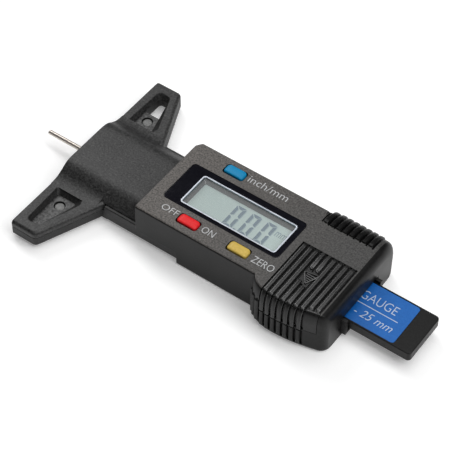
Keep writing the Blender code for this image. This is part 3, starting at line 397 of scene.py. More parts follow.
PLATED = metal("zinc_plate", (0.42, 0.42, 0.42), (0.66, 0.66, 0.65), 0.30)
NICKEL = metal("nickel_plate", (0.55, 0.54, 0.52), (0.74, 0.73, 0.70), 0.22)
BRONZE = metal("sprung_bronze", (0.50, 0.29, 0.12), (0.76, 0.50, 0.24), 0.30, (0.1, 1.0, 1.0))
SILVER = metal("satin_silver_trim", (0.40, 0.43, 0.48), (0.56, 0.59, 0.64), 0.42, (0.3, 0.3, 1.0), 1500.0,
               0.05)
PRINT = printed("grey_print", (0.46, 0.47, 0.48), (0.60, 0.61, 0.62), 0.5)
WHITE_PRINT = printed("white_print", (0.42, 0.51, 0.64), (0.55, 0.63, 0.76), 0.45)
SEGMENT = printed("display_segment", (0.034, 0.092, 0.138), (0.046, 0.112, 0.164), 0.35)
# painted shadow: the colour of the segments' shadow on the glass
DIGIT_SHADOW_PAINT = printed("display_segment_shadow", (0.200, 0.280, 0.300), (0.225, 0.310, 0.330), 0.40)


def label_film():
    finish, tree, shader, place = new_finish("blue_label_film")
    fibre = noise(tree, place, 1800.0, 3.0, 0.6)
    cloud = noise(tree, place, 120.0, 3.0, 0.5)
    colour = mix(tree, 0.5, ramp(tree, fibre, 0.35, 0.68, (0.004, 0.105, 0.400), (0.012, 0.145, 0.500)),
                 ramp(tree, cloud, 0.3, 0.7, (0.005, 0.110, 0.410), (0.010, 0.140, 0.490)))
    surface(tree, shader, colour, remap(tree, cloud, 0.3, 0.7, 0.34, 0.44))
    shader.inputs["Specular IOR Level"].default_value = 0.3
    bump(tree, shader, fibre, 0.10, 0.00003)
    return finish


def display_glass():
    finish, tree, shader, place = new_finish("display_polariser")
    cloud = noise(tree, place, 60.0, 2.0, 0.5)
    fine = noise(tree, place, 2500.0, 2.0, 0.5)
    dim = (0.30, 0.38, 0.36)
    bright = (0.42, 0.50, 0.48)
    # painted reflection: the glass's pale green is its own colour, its rise in lightness along X stands in
    # for light reflected off the display
    along = along_x(tree, place, -0.012, 0.022)
    colour = ramp(tree, along, 0.0, 1.0, (0.290, 0.385, 0.365), (0.420, 0.540, 0.515))
    colour = mix(tree, 0.15, colour, ramp(tree, fine, 0.35, 0.65, dim, bright))
    colour = mix(tree, 0.10, colour, ramp(tree, cloud, 0.3, 0.7, dim, bright))
    surface(tree, shader, colour, remap(tree, fine, 0.3, 0.7, 0.30, 0.38))
    bump(tree, shader, fine, 0.03, 0.00002)
    return finish


def clear_lens():
    finish, tree, shader, place = new_finish("clear_lens")
    haze = noise(tree, place, 200.0, 3.0, 0.5)
    surface(tree, shader, ramp(tree, haze, 0.3, 0.7, (0.86, 0.90, 0.91), (0.93, 0.95, 0.95)),
            remap(tree, haze, 0.3, 0.7, 0.05, 0.09))
    shader.inputs["Alpha"].default_value = 0.10
    return finish


def board_mask():
    """Green solder mask over copper lanes."""
    finish, tree, shader, place = new_finish("board_solder_mask")
    lanes = bands(tree, place, "DIAGONAL", 240.0, 6.0, 1.0)
    surface(tree, shader, ramp(tree, lanes, 0.45, 0.55, (0.010, 0.105, 0.042), (0.022, 0.180, 0.078)),
            remap(tree, lanes, 0.4, 0.6, 0.38, 0.30))
    bump(tree, shader, lanes, 0.25, 0.00004)
    return finish


def scale_laminate():
    """Copper bars across a green strip, at an even pitch."""
    finish, tree, shader, place = new_finish("scale_strip_laminate")
    bars = bands(tree, place, "X", 197.0, 0.0, 2.0)
    fine = noise(tree, place, 1700.0, 2.0, 0.5)
    copper = ramp(tree, fine, 0.3, 0.7, (0.52, 0.30, 0.11), (0.66, 0.42, 0.19))
    mask = ramp(tree, bars, 0.46, 0.54, 0.0, 1.0)
    surface(tree, shader, mix(tree, mask, (0.014, 0.120, 0.050, 1.0), copper),
            remap(tree, fine, 0.3, 0.7, 0.32, 0.42))
    bump(tree, shader, bars, 0.3, 0.00003)
    return finish


LABEL = label_film()
DISPLAY = display_glass()
LENS = clear_lens()
BOARD = board_mask()
SCALE = scale_laminate()

# ---- foot ----

FOOT_HIGH = mm_box("foot_lower_shell")[1]
TOP_HIGH = mm_box("foot_upper_shell")[1]
HALF = FOOT_HIGH.y  # half the foot's width
BEAM_END = FOOT_HIGH.x
TIP_DEPTH = 8.8  # front to back at a wing's tip
TIP_RADIUS = 1.7
ROOT_DEPTH = 17.3  # front to back where a wing meets the stem
SEAM = 3.1  # parting line between the two shells
SEAM_GAP = 0.06  # each shell stops this far from the parting line
WING_TOP = 5.2
STEM_HALF = 14.9
STEM_TOP = 4.8
STEM_END = 44.2
HUMP_HALF = 13.9
HUMP_BASE = 5.1
HUMP_TOP = TOP_HIGH.z
HUMP_END = TOP_HIGH.x
PIN_Z = 3.3  # height of the pin's axis
PIN_BORE = 1.05
STUD_X = 6.4
STUD_Y = 20.9
ABOVE = 9.0  # cutters for the foot and the slide reach up to here


def wing_outline(root_half, inset, front):
    """Both wings seen from above. inset draws the tips and rear edges in, front the front edge."""
    run = HALF - STEM_HALF
    rise = ROOT_DEPTH - TIP_DEPTH
    slant = math.hypot(run, rise)
    root = ROOT_DEPTH + (STEM_HALF - root_half) * rise / run - inset * slant / run
    tip = TIP_DEPTH - inset * (slant - rise) / run
    half = HALF - inset
    near = [(front, -half), (tip, -half), (root, -root_half)]
    radius = TIP_RADIUS - 0.6 * inset
    return rounded(near + [(x, -y) for x, y in reversed(near)], [0.55, radius, 0.0, 0.0, radius, 0.55], 7)


def wing_plate(form, root_half, low, high, bottom, top, front_share):
    """A plate in the shape of both wings with rounded lower and upper edges."""
    def outline_at(inset):
        return wing_outline(root_half, inset, inset * front_share)
    return soft_prism(form, outline_at, low, high, bottom, top, 4, 8)


def pocket(form, side):
    """The triangular pocket of a wing: flat floor, sloping walls and a rounded rim."""
    rim = rounded([(2.5, 16.4), (11.6, 16.2), (12.3, 18.6), (7.4, 31.4), (3.0, 31.8)],
                  [1.0, 0.9, 0.9, 1.4, 1.4])
    floor = rounded([(3.5, 17.7), (10.0, 17.7), (10.0, 18.9), (6.9, 30.6), (3.6, 30.6)],
                    [1.0, 0.8, 0.8, 1.3, 1.3])
    heights = ((0.0, 2.9), (0.0, 3.35), (0.04, 3.42), (0.12, 3.56), (0.84, 4.95), (0.92, 5.07), (1.0, 5.15),
               (1.10, 5.205), (1.16, 5.30))
    return loft(form, [[(a[0] + (b[0] - a[0]) * share, side * (a[1] + (b[1] - a[1]) * share), z)
                        for a, b in zip(floor, rim)] for share, z in heights])


def hump_body(form):
    """The raised cover over the slide, solid: its cross-section is drawn from the front to the rear."""
    flank = [(HUMP_HALF, HUMP_BASE), (HUMP_HALF - 0.15, 5.25), (12.95, 5.85), (12.1, 6.55), (11.2, 7.28),
             (10.3, 7.90), (9.5, 8.28), (8.7, 8.50), (7.8, 8.63), (6.6, HUMP_TOP - 0.02), (5.0, HUMP_TOP)]
    whole = [(-y, z) for y, z in flank] + flank[::-1]
    rings = [(0.0, 0.60), (0.05, 0.42), (0.16, 0.26), (0.34, 0.12), (0.56, 0.04), (0.85, 0.0), (8.0, 0.0),
             (16.0, 0.0), (24.0, 0.0), (HUMP_END - 0.5, 0.0), (HUMP_END - 0.2, 0.08), (HUMP_END, 0.3)]
    return loft(form, [[(x, y * (1.0 - inset / 30.0), HUMP_BASE + (z - HUMP_BASE) * (1.0 - inset / 3.6))
                        for y, z in whole] for x, inset in rings])


def hump_cavity(form):
    flank = [(12.0, 5.0), (12.0, 5.4), (10.3, 6.9), (9.0, 7.2), (7.0, 7.3)]
    return prism(form, [(-y, z) for y, z in flank] + flank[::-1], 1.8, HUMP_END + 1.0, "X")


def root_fillet(form, side):
    """The hollow curve between a wing's top and the hump's flank."""
    section = [(11.9, 5.0), (11.9, 6.6), (12.5, 6.24), (13.05, 5.93), (13.65, 5.67), (14.35, 5.46),
               (15.15, 5.31), (16.0, 5.225), (16.9, 5.18), (16.9, 5.0)]
    marks = [(0.03, 0.10), (0.12, 0.04), (0.4, 0.0), (9.0, 0.0), (14.6, 0.0), (16.2, 0.06)]
    loft(form, [[(x, side * y, z - drop) for y, z in section] for x, drop in marks])


def far_hole(form):
    outline = rounded([(3.5, 23.8), (10.2, 23.8), (7.1, 31.2), (3.5, 31.2)], [0.5, 0.3, 1.0, 1.0])
    return prism(form, outline, -1.0, SEAM + 1.0)


foot_base = build("foot_base", (wing_plate, STEM_HALF, 0.0, SEAM - SEAM_GAP, 0.45, 0.10, 0.6))
carve(foot_base,
      (slab, 0.02, 19.0, -12.9, 12.9, 0.05, STEM_TOP),
      (slab, 16.3, 19.0, -STEM_HALF, STEM_HALF, 0.02, 3.0),
      (slab, 18.05, STEM_END, -STEM_HALF, STEM_HALF, 0.0, STEM_TOP, 0.35),
      (slab, STEM_END - 1.0, BEAM_END, -9.3, 9.3, 0.0, FOOT_HIGH.z, 0.25), operation="UNION")
carve(foot_base,
      (slab, 3.2, BEAM_END + 1.0, -8.2, 8.2, 1.0, ABOVE),  # the slide's channel
      (rod, (-1.0, 0.0, PIN_Z), (4.0, 0.0, PIN_Z), PIN_BORE, 24),
      (slab, 22.0, 42.0, -9.4, -7.2, 1.6, ABOVE),  # room for the friction spring
      (far_hole,),
      (slab, 29.7, 46.0, 13.9, 17.0, 3.6, ABOVE),  # where the housing's side walls sit
      (slab, 29.7, 46.0, -17.0, -13.9, 3.6, ABOVE),
      (rod, (STUD_X, STUD_Y, -1.0), (STUD_X, STUD_Y, ABOVE), 1.75, 40),
      (rod, (STUD_X, -STUD_Y, -1.0), (STUD_X, -STUD_Y, ABOVE), 1.75, 40))
finish_piece(foot_base, "gauge_body", BLACK, ["foot_lower_shell"])
# painted light: the upward faces of the pocket floors take the lighter copy
second_finish(foot_base, POCKET_FLOOR_LIGHT_PAINT, lambda centre, normal: normal.z > 0.8 and SEAM - 0.2 < centre.z < SEAM + 0.1)

foot_top = build("foot_top", (wing_plate, HUMP_HALF, SEAM + SEAM_GAP, WING_TOP, 0.12, 1.1, 0.25))
carve(foot_top,
      (slab, -1.0, 2.0, -13.2, 13.2, 0.0, 4.9),
      (slab, 1.8, 31.0, -13.2, 13.2, 0.0, 6.0),
      (pocket, -1.0), (pocket, 1.0))
hump = build("hump", (hump_body,))
carve(hump, (hump_cavity,))
absorb(foot_top, hump)
add(foot_top, (root_fillet, 1.0), (root_fillet, -1.0))
finish_piece(foot_top, "gauge_body", HUMP, ["foot_upper_shell"])

STUD_PROFILE = [(1.3, 0.15), (1.5, 0.35), (1.5, 2.42), (1.44, 2.56), (1.3, 2.66), (1.0, 2.70), (0.3, 2.70)]
for name, side, slot_name, node in (("near_stud_piece", -1.0, "near_stud", "near_wing_stud"),
                                    ("far_stud_piece", 1.0, "far_stud", "far_wing_stud")):
    piece(name, (turned, STUD_PROFILE, STUD_X, side * STUD_Y, 48), "gauge_body", slot_name, STUD, [node])

# ---- slide ----

TONGUE_LOW, TONGUE_HIGH = mm_box("measuring_tongue")
TONGUE_START = TONGUE_LOW.x
TONGUE_END = TONGUE_HIGH.x
TONGUE_HALF = TONGUE_HIGH.y
TONGUE_TOP = TONGUE_HIGH.z


def tongue_plate(form):
    def outline_at(inset):
        return rectangle(TONGUE_START + inset, -TONGUE_HALF + inset, TONGUE_END - inset, TONGUE_HALF - inset,
                         [0.5, 1.1, 1.1, 0.5])
    return soft_prism(form, outline_at, 1.9, TONGUE_TOP, 0.35, 0.32)


LABEL_LOW, LABEL_HIGH = mm_box("tongue_label")
SCALE_LOW, SCALE_HIGH = mm_box("scale_strip")
PIN_LOW, PIN_HIGH = mm_box("probe_pin")
CARD_TOP = LABEL_HIGH.z - 0.06  # leaves room for the print within the label's CAD height

tongue = build("slide_tongue", (tongue_plate,))
carve(tongue, (slab, TONGUE_START + 0.4, TONGUE_END - 0.7, -5.3, 5.3, TONGUE_LOW.z, 3.0, 0.25, 0.5),
      operation="UNION")
carve(tongue,
      (prism, rectangle(LABEL_LOW.x - 0.2, LABEL_LOW.y - 0.12, LABEL_HIGH.x + 0.12, LABEL_HIGH.y + 0.12,
                        [0.0, 1.0, 1.0, 0.0]), LABEL_LOW.z - 0.06, ABOVE),
      (slab, SCALE_LOW.x - 0.2, SCALE_HIGH.x + 0.2, SCALE_LOW.y - 0.2, SCALE_HIGH.y + 0.2, SCALE_LOW.z - 0.1,
       ABOVE),
      (rod, (TONGUE_START - 1.0, 0.0, PIN_Z), (22.3, 0.0, PIN_Z), PIN_BORE, 24))
finish_piece(tongue, "probe_slide", SLIDE, ["measuring_tongue"])


def label_card(form):
    def outline_at(inset):
        return rectangle(LABEL_LOW.x, LABEL_LOW.y + inset, LABEL_HIGH.x - inset, LABEL_HIGH.y - inset,
                         [0.0, 0.9, 0.9, 0.0])
    return soft_prism(form, outline_at, LABEL_LOW.z, CARD_TOP, 0.0, 0.04, 2)


piece("slide_label", (label_card,), "probe_slide", "label", LABEL, ["tongue_label"])


def pin_bar(form):
    """The probe pin: a ground bar with a softly broken tip edge."""
    marks = [(PIN_LOW.x, 0.56), (PIN_LOW.x + 0.05, 0.66), (PIN_LOW.x + 0.14, 0.73), (PIN_LOW.x + 0.26, 0.75),
             (0.0, 0.75), (PIN_HIGH.x - 0.15, 0.75), (PIN_HIGH.x, 0.62)]
    loft(form, [[(x, y, PIN_Z + z) for y, z in circle(radius, 40)] for x, radius in marks])


piece("slide_pin", (pin_bar,), "probe_slide", "pin", STEEL, ["probe_pin"])

# ---- lettering: generic words and digits only ----

PRINT_HEIGHT = 0.03


def lettering(name, words, x0, y0, x1, y1, z, body, slot, finish, slant=0.0, thin=0.12):
    """Flat raised lettering that fills the box from (x0, y0) to (x1, y1), reading along +X."""
    curve = bpy.data.curves.new(name, "FONT")
    curve.body = words
    curve.size = 10.0
    curve.shear = slant
    curve.offset = -thin
    curve.resolution_u = 4
    drawn = put_in_scene(bpy.data.objects.new(name + "_drawn", curve))
    mesh = evaluated_mesh(drawn)
    bpy.data.objects.remove(drawn, do_unlink=True)
    form = bmesh.new()
    form.from_mesh(mesh)
    bpy.data.meshes.remove(mesh)
    bmesh.ops.remove_doubles(form, verts=form.verts, dist=0.0001)
    xs = [vertex.co.x for vertex in form.verts]
    ys = [vertex.co.y for vertex in form.verts]
    wide = (x1 - x0) / (max(xs) - min(xs))
    tall = (y1 - y0) / (max(ys) - min(ys))
    for vertex in form.verts:
        vertex.co = Vector((x0 + (vertex.co.x - min(xs)) * wide, y0 + (vertex.co.y - min(ys)) * tall, z))
    grown = bmesh.ops.extrude_face_region(form, geom=form.faces[:])
    raised = [item for item in grown["geom"] if isinstance(item, bmesh.types.BMVert)]
    bmesh.ops.translate(form, vec=(0.0, 0.0, PRINT_HEIGHT), verts=raised)
    thing = put_in_scene(bpy.data.objects.new(name, mesh_from(form, name)))
    finish_piece(thing, body, finish, sharp=30.0)


CARD = (CARD_TOP, "probe_slide", "label", WHITE_PRINT)  # height, body, slot and finish of the card's print
lettering("label_word_depth", "DEPTH", 81.9, 0.95, 93.2, 4.0, *CARD)
lettering("label_word_gauge", "GAUGE", 95.5, 0.95, 107.1, 4.0, *CARD)
lettering("label_range", "0 - 25 mm", 94.2, -4.85, 109.1, -2.2, *CARD, slant=0.25, thin=0.08)
rule = (prism, rectangle(LABEL_LOW.x + 1.5, -0.74, 109.0, -0.48, 0.1, 2), CARD_TOP, CARD_TOP + PRINT_HEIGHT)
piece("label_rule", rule, *CARD[1:])

# ---- display housing ----

HOUSING_LOW, HOUSING_HIGH = mm_box("module_cover")
COVER_LOW, COVER_HIGH = mm_box("battery_cover")
START = HOUSING_LOW.x
END = HOUSING_HIGH.x
BOTTOM = HOUSING_LOW.z
TOP = 14.0
SIDE = 15.6
GRIP_START = {-1.0: 71.4, 1.0: 75.2}  # where each side starts to bulge, by the side's sign
GRIP_PEAK = {-1.0: 80.0, 1.0: 78.6}
GRIP_SWELL = {-1.0: 4.5, 1.0: 3.35}
GRIP_FALL = {-1.0: 21.0, 1.0: 45.0}  # the bulge dies away over this length behind its peak
NEAR_OVAL = (1.8, 5.2)  # width and height of the near grip's rounded top edge
FAR_RIB_INNER_Y = 11.0  # the far grip slopes down from here
FAR_DROP = 5.0
DROP_START = 93.7
DROP = 4.0
REAR_CORNER = 2.0


def grip_bulge(x, side):
    """How far one side of the grip stands out at x."""
    start = GRIP_START[side]
    peak = GRIP_PEAK[side]
    if x <= start:
        return 0.0
    if x < peak:
        return GRIP_SWELL[side] * math.sqrt(1.0 - ((peak - x) / (peak - start)) ** 2)
    return GRIP_SWELL[side] * math.cos(math.pi / 2.0 * (x - peak) / GRIP_FALL[side])


def half_width(x, side):
    """Half the housing's width at x: straight, then the barrel-shaped grip, then the rear corner."""
    past = max(x - (END - REAR_CORNER), 0.0)
    return SIDE + grip_bulge(x, side) - (REAR_CORNER - math.sqrt(max(REAR_CORNER ** 2 - past ** 2, 0.0)))


def top_height(x):
    share = min(max(x - DROP_START, 0.0) / (END - DROP_START), 1.0)
    return TOP - DROP * (1.0 - math.sqrt(max(1.0 - share ** 2, 0.0)))


def edge_rounding(x, side):
    """Rounding of one side's long edges at x: the top oval's width and height, and the bottom radius."""
    share = math.sqrt(grip_bulge(x, side) / GRIP_SWELL[side])
    wide, high = NEAR_OVAL if side < 0.0 else (half_width(x, side) - FAR_RIB_INNER_Y, FAR_DROP)
    return 0.7 + (wide - 0.7) * share, 0.7 + (high - 0.7) * share, 0.8 + 0.8 * share


def housing_ring(x, inset=0.0):
    """The housing's cross-section at x, up the near side and down the far side."""
    top = top_height(x) - inset
    halves = []
    for side in (-1.0, 1.0):
        half = half_width(x, side) - inset
        wide, high, foot = edge_rounding(x, side)
        low = [(x, side * (half - foot + foot * sine), BOTTOM + foot - foot * cosine)
               for sine, cosine in quarter_turn(5)]
        halves.append(low + [(x, side * (half - wide + wide * cosine), top - high + high * sine)
                             for sine, cosine in quarter_turn(14)])
    return halves[0] + halves[1][::-1]


def stations(start, end):
    """Places along X where a cross-section is drawn, close together where the outline turns."""
    marks = [40.0, 50.0, 60.0, 70.0, 81.5, 83.0, 84.5, 86.0, 87.5, 89.0, 90.5, 92.0, 93.7]
    for side, steps in ((-1.0, 14), (1.0, 9)):
        rise = GRIP_PEAK[side] - GRIP_START[side]
        marks += [GRIP_PEAK[side] - rise * cosine for sine, cosine in quarter_turn(steps)]
    marks += [DROP_START + (END - DROP_START) * sine for sine, cosine in quarter_turn(9)[1:]]
    chosen = [start]
    for mark in sorted(marks):
        if chosen[-1] + 0.06 < mark < end - 0.02:
            chosen.append(mark)
    return chosen + [end]


def housing_body(form, start, end, front_round=0.0):
    places = stations(start, end)
    rings = [housing_ring(x) for x in places]
    if front_round:
        rings = [housing_ring(start + front_round * (1.0 - cosine), front_round * (1.0 - sine))
                 for sine, cosine in quarter_turn(4)]
        rings += [housing_ring(x) for x in places[1:] if x > start + front_round + 0.05]
    return loft(form, rings)


def flat_way(side, ys):
    """A rib's way across the flat top, as (y, z, normal y, normal z)."""
    return [(side * y, TOP, 0.0, 1.0) for y in ys]


def rib_way(x, side, inner_y, lower_z):
    """A rib's way over the grip, in flat_way's form: out along the top, round the edge, down the side.

    An inner_y of None gives only the side, and a lower_z of None only the top."""
    half = half_width(x, side)
    if inner_y is None:
        start_z = SIDE_SEAM - 0.45
        way = [(side * half, start_z, side, 0.0)]
    else:
        wide, high, _ = edge_rounding(x, side)
        span = half - wide - inner_y
        if span < 1.0:
            way = flat_way(side, (inner_y - 0.3, inner_y - 0.2))
            span = 0.0
        else:
            way = flat_way(side, [inner_y + span * share for share in (0.0, 0.02, 0.06, 0.5)])
        if lower_z is None:
            return way + flat_way(side, [inner_y + span * share for share in (0.93, 0.97, 1.0)])
        for cosine, sine in quarter_turn(12):
            outward = Vector((high * cosine, wide * sine)).normalized()
            way.append((side * (half - wide + wide * cosine), TOP - high + high * sine,
                        side * outward.x, outward.y))
        start_z = TOP - high
    return way + [(side * half, start_z + (lower_z - start_z) * share, side, 0.0)
                  for share in (0.5, 0.94, 0.98, 1.0)]


def sweep(form, x, way, section, ends=(1.0, 1.0)):
    """Adds a bar along a way. section is (across, out from the surface); ends scale its two ends."""
    rings = []
    last = len(way) - 1
    for index, (y, z, normal_y, normal_z) in enumerate(way):
        size = 1.0
        for end_size, place in ((ends[0], index), (ends[1], last - index)):
            if place == 0:
                size = min(size, end_size)
            elif place == 1:
                size = min(size, (1.0 + end_size) / 2.0 + 0.2 * (1.0 - end_size))
        rings.append([(x + across * (0.55 + 0.45 * size), y + (up if up < 0.0 else up * size) * normal_y,
                       z + (up if up < 0.0 else up * size) * normal_z) for across, up in section])
    return loft(form, rings)


RIB_FLANK = [(0.68, -0.6), (0.67, 0.02), (0.65, 0.18), (0.60, 0.30), (0.52, 0.38), (0.38, 0.43), (0.20, 0.45)]
RIB = [(-across, up) for across, up in RIB_FLANK] + RIB_FLANK[::-1]
GROOVE_FLANK = [(0.29, 0.8), (0.29, -0.30), (0.22, -0.50)]
GROOVE = [(-across, up) for across, up in GROOVE_FLANK] + [(0.0, -0.58)] + GROOVE_FLANK[::-1]
FAR_GROOVE = [(across, up if up > 0.0 else up * 1.3) for across, up in GROOVE]
SIDE_SEAM = COVER_LOW.z  # the battery cover's skirt ends here
NEAR_PITCH = 1.95
COVER_RIBS = 9
SIDE_RIBS = 7  # the two rearmost near ribs end at the top edge
NEAR_FIRST = 77.0
FAR_PITCH = 2.1
FAR_FIRST = 77.0
FAR_RIBS = 8
FRONT_STEP = 45.7  # the housing's underside starts here


def front_step(form):
    """What is missing below the housing's front part, with a rounded nose on what is left."""
    nose = 1.1
    outline = [(27.0, -5.0), (FRONT_STEP, -5.0)]
    outline += [(FRONT_STEP - nose * sine, BOTTOM + nose - nose * cosine) for sine, cosine in quarter_turn(6)]
    outline += [(44.6, 3.4), (44.45, 3.75), (44.1, 3.9), (27.0, 3.9)]
    return prism(form, outline, -20.0, 20.0, "Y")


def button_ring(low, high, extra, inset, z):
    """A button's outline at height z, drawn out by extra and in by inset."""
    x0 = low[0] - extra + inset
    x1 = high[0] + extra - inset
    y0 = low[1] - extra + inset
    y1 = high[1] + extra - inset
    radius = min(max(0.95 - inset * 0.3, 0.3), (y1 - y0) * 0.49)
    return [(x, y, z) for x, y in rectangle(x0, y0, x1, y1, radius)]


BUTTONS = {}
for node in ("blue_unit_button", "red_power_button", "yellow_zero_button"):
    low, high = mm_box(node)
    centre = (low + high) / 2.0
    BUTTONS[node] = ((centre.x - 3.2, centre.y - 1.5), (centre.x + 3.2, centre.y + 1.5), high.z)

BEZEL_LOW, BEZEL_HIGH = mm_box("window_bezel")
TRIM_LOW, TRIM_HIGH = mm_box("window_trim")
LCD_LOW, LCD_HIGH = mm_box("lcd_glass")
COVER_START = COVER_LOW.x
COVER_END = COVER_HIGH.x
COVER_EDGE = 1.8  # the cover's edge on the top face, just beyond the centre line
COVER_FLOOR = 12.8  # underside of the cover's top
COVER_INNER = 15.2  # inside of the cover's skirt
SEAT = 0.14  # gap between the cover and its seat
OVER = 16.0  # cutters that come from above start here
CAVITY_HALF = 14.3
ROOF = 12.4  # underside of the housing's top

housing = build("display_housing", (housing_body, START, END, 0.4))
carve(housing,
      (prism, [(29.0, 13.2), (30.0, 13.2), (32.0, OVER), (32.0, 18.0), (29.0, 18.0)], -3.0, OVER),
      (front_step,),
      (slab, 31.3, 75.65, -CAVITY_HALF, CAVITY_HALF, 4.8, ROOF),
      (slab, 28.0, 46.2, -14.2, 14.2, -3.0, 5.1),  # the stem's channel
      (slab, 28.0, 33.0, -8.5, 8.5, 0.0, 5.9),
      (slab, 44.2, 94.9, -CAVITY_HALF, CAVITY_HALF, -3.0, 5.95),
      (slab, 76.7, 94.9, 2.8, CAVITY_HALF, 1.0, ROOF),
      (slab, 94.0, END + 1.0, -9.6, 9.6, -0.3, 6.0),  # the slide's way out
      (slab, 77.3, 92.4, -13.9, 0.4, 6.4, OVER),  # the battery well
      (slab, 77.3, 92.4, -16.2, -12.9, 11.1, OVER),
      (slab, COVER_START - SEAT, COVER_END + SEAT, -25.0, COVER_EDGE + SEAT, COVER_FLOOR - SEAT, OVER),
      (slab, COVER_START - SEAT, COVER_END + SEAT, -25.0, -COVER_INNER + SEAT, SIDE_SEAM - SEAT, OVER),
      (slab, 77.2, 78.9, -0.6, 4.6, 11.1, 12.1),  # slots for the cover's two hooks
      (slab, 90.7, 92.4, -0.6, 4.6, 11.1, 12.1),
      (slab, 75.4, 78.3, -8.9, -6.3, 6.35, 7.1),  # slots for the battery contacts
      (slab, 75.4, 78.3, -4.9, -3.5, 7.0, 10.6),
      (prism, rectangle(BEZEL_LOW.x - 0.1, BEZEL_LOW.y - 0.1, BEZEL_HIGH.x + 0.1, BEZEL_HIGH.y + 0.1, 1.3),
       BEZEL_LOW.z - 0.1, OVER),
      (prism, rectangle(TRIM_LOW.x - 1.0, TRIM_LOW.y - 0.8, TRIM_HIGH.x + 0.8, TRIM_HIGH.y + 1.2, 1.0),
       11.0, OVER))
for low, high, top in BUTTONS.values():
    carve(housing, (loft, [button_ring(low, high, gap, 0.0, z)
                           for gap, z in ((0.32, 11.0), (0.32, 13.85), (0.44, 14.02), (0.44, OVER))]))


def far_grooves(form):
    for index in range(FAR_RIBS + 1):
        x = FAR_FIRST + (index - 0.5) * FAR_PITCH
        sweep(form, x, rib_way(x, 1.0, FAR_RIB_INNER_Y, 0.1), FAR_GROOVE)


def near_grooves(form):
    for index in range(SIDE_RIBS + 1):
        x = NEAR_FIRST + (index - 0.5) * NEAR_PITCH
        sweep(form, x, rib_way(x, -1.0, None, 0.1), GROOVE)


carve(housing, (far_grooves,), (near_grooves,))


def housing_ribs(form):
    for index in range(FAR_RIBS):
        x = FAR_FIRST + index * FAR_PITCH
        sweep(form, x, rib_way(x, 1.0, FAR_RIB_INNER_Y + 0.4, 0.25), RIB, (0.25, 0.2))
    for index in range(SIDE_RIBS):
        x = NEAR_FIRST + index * NEAR_PITCH
        sweep(form, x, rib_way(x, -1.0, None, 0.25), RIB, (0.85, 0.2))
    for x, width in ((75.05, 1.05), (73.4, 0.8), (72.2, 0.57)):
        half = half_width(x, -1.0)
        low_z = 0.4
        top_z = TOP - edge_rounding(x, -1.0)[1] + 0.2
        way = [(-half, top_z + (low_z - top_z) * share, -1.0, 0.0)
               for share in (0.0, 0.02, 0.06, 0.5, 0.94, 0.98, 1.0)]
        sweep(form, x, way, [(across * width, up) for across, up in RIB], (0.2, 0.2))


CASE_SCREWS = ((53.5, -12.0), (53.5, 12.0), (91.2, -12.0), (91.2, 12.0))
ROOF_TOUCH = 12.6  # bosses reach a little into the roof


def bosses(form):
    """Screw bosses and posts inside the housing. The boss below the battery well is short."""
    for x, y in CASE_SCREWS:
        rod(form, (x, y, 1.0), (x, y, 6.1 if x > 90.0 and y < 0.0 else ROOF_TOUCH), 2.0, 24)
    for x in (35.3, 72.8):
        for y in (-11.9, 11.9):
            rod(form, (x, y, 7.4), (x, y, ROOF_TOUCH), 1.9, 24)


add(housing, (housing_ribs,))
add(housing, (bosses,))
finish_piece(housing, "gauge_body", GLOSS, ["module_cover"])


def on_the_face(centre, normal):
    """The flat top, up to where it drops at the rear, but not the far grip's ribbed slope. These upward faces
    take a lighter copy of the housing plastic: its grain is the moulded texture, its lightness is painted
    light falling on the top.
    """
    last_groove = FAR_FIRST + (FAR_RIBS - 0.5) * FAR_PITCH
    ribbed = centre.y > FAR_RIB_INNER_Y - 0.25 and FAR_FIRST - 1.05 < centre.x < last_groove
    return normal.z > 0.72 and centre.z > 12.0 and centre.x < DROP_START + 0.6 and not ribbed


# painted light: the top faces take the lighter copy, the sides stay dark
second_finish(housing, LIT_TOP_FACE, on_the_face)

plate = build("housing_base", (slab, 44.8, 94.6, -14.0, 14.0, BOTTOM, -0.2, 0.22, 0.6))
for x, y in CASE_SCREWS:
    carve(plate, (rod, (x, y, -0.9), (x, y, 0.7), 2.0, 40), operation="UNION")
    carve(plate, (rod, (x, y, -3.0), (x, y, -0.45), 1.9, 40), (rod, (x, y, -3.0), (x, y, 3.0), 1.05, 32))
finish_piece(plate, "gauge_body", BLACK, ["module_back_plate"])

# ---- ribbed battery cover ----

cover = build("ribbed_battery_cover", (housing_body, COVER_START, COVER_END))
carve(cover,
      (slab, 70.0, 100.0, -COVER_INNER, 25.0, -5.0, COVER_FLOOR),
      (slab, 70.0, 100.0, COVER_EDGE, 25.0, -5.0, OVER),
      (slab, 70.0, 100.0, -25.0, 25.0, -5.0, SIDE_SEAM))
ARROW_RIBS = {3: (-5.0, 9.9), 4: (-5.1, 11.3)}  # rib number: where its far part ends, its near part starts
KNOB_PROFILE = [(0.46, 13.7), (0.46, 14.2), (0.40, 14.34), (0.26, 14.42), (0.10, 14.45)]


def cover_grooves(form):
    for index in range(COVER_RIBS + 1):
        x = NEAR_FIRST + (index - 0.5) * NEAR_PITCH
        x = min(max(x, COVER_START + 0.22), COVER_END - 0.22)
        lower_z = SIDE_SEAM - 0.6 if index <= SIDE_RIBS else None
        if index == 4:
            sweep(form, x, flat_way(1.0, (2.8, 2.6, -2.0, -5.6, -5.8)), GROOVE)
            sweep(form, x, rib_way(x, -1.0, 10.8, lower_z), GROOVE)
        else:
            sweep(form, x, rib_way(x, -1.0, -COVER_EDGE - 1.0, lower_z), GROOVE)


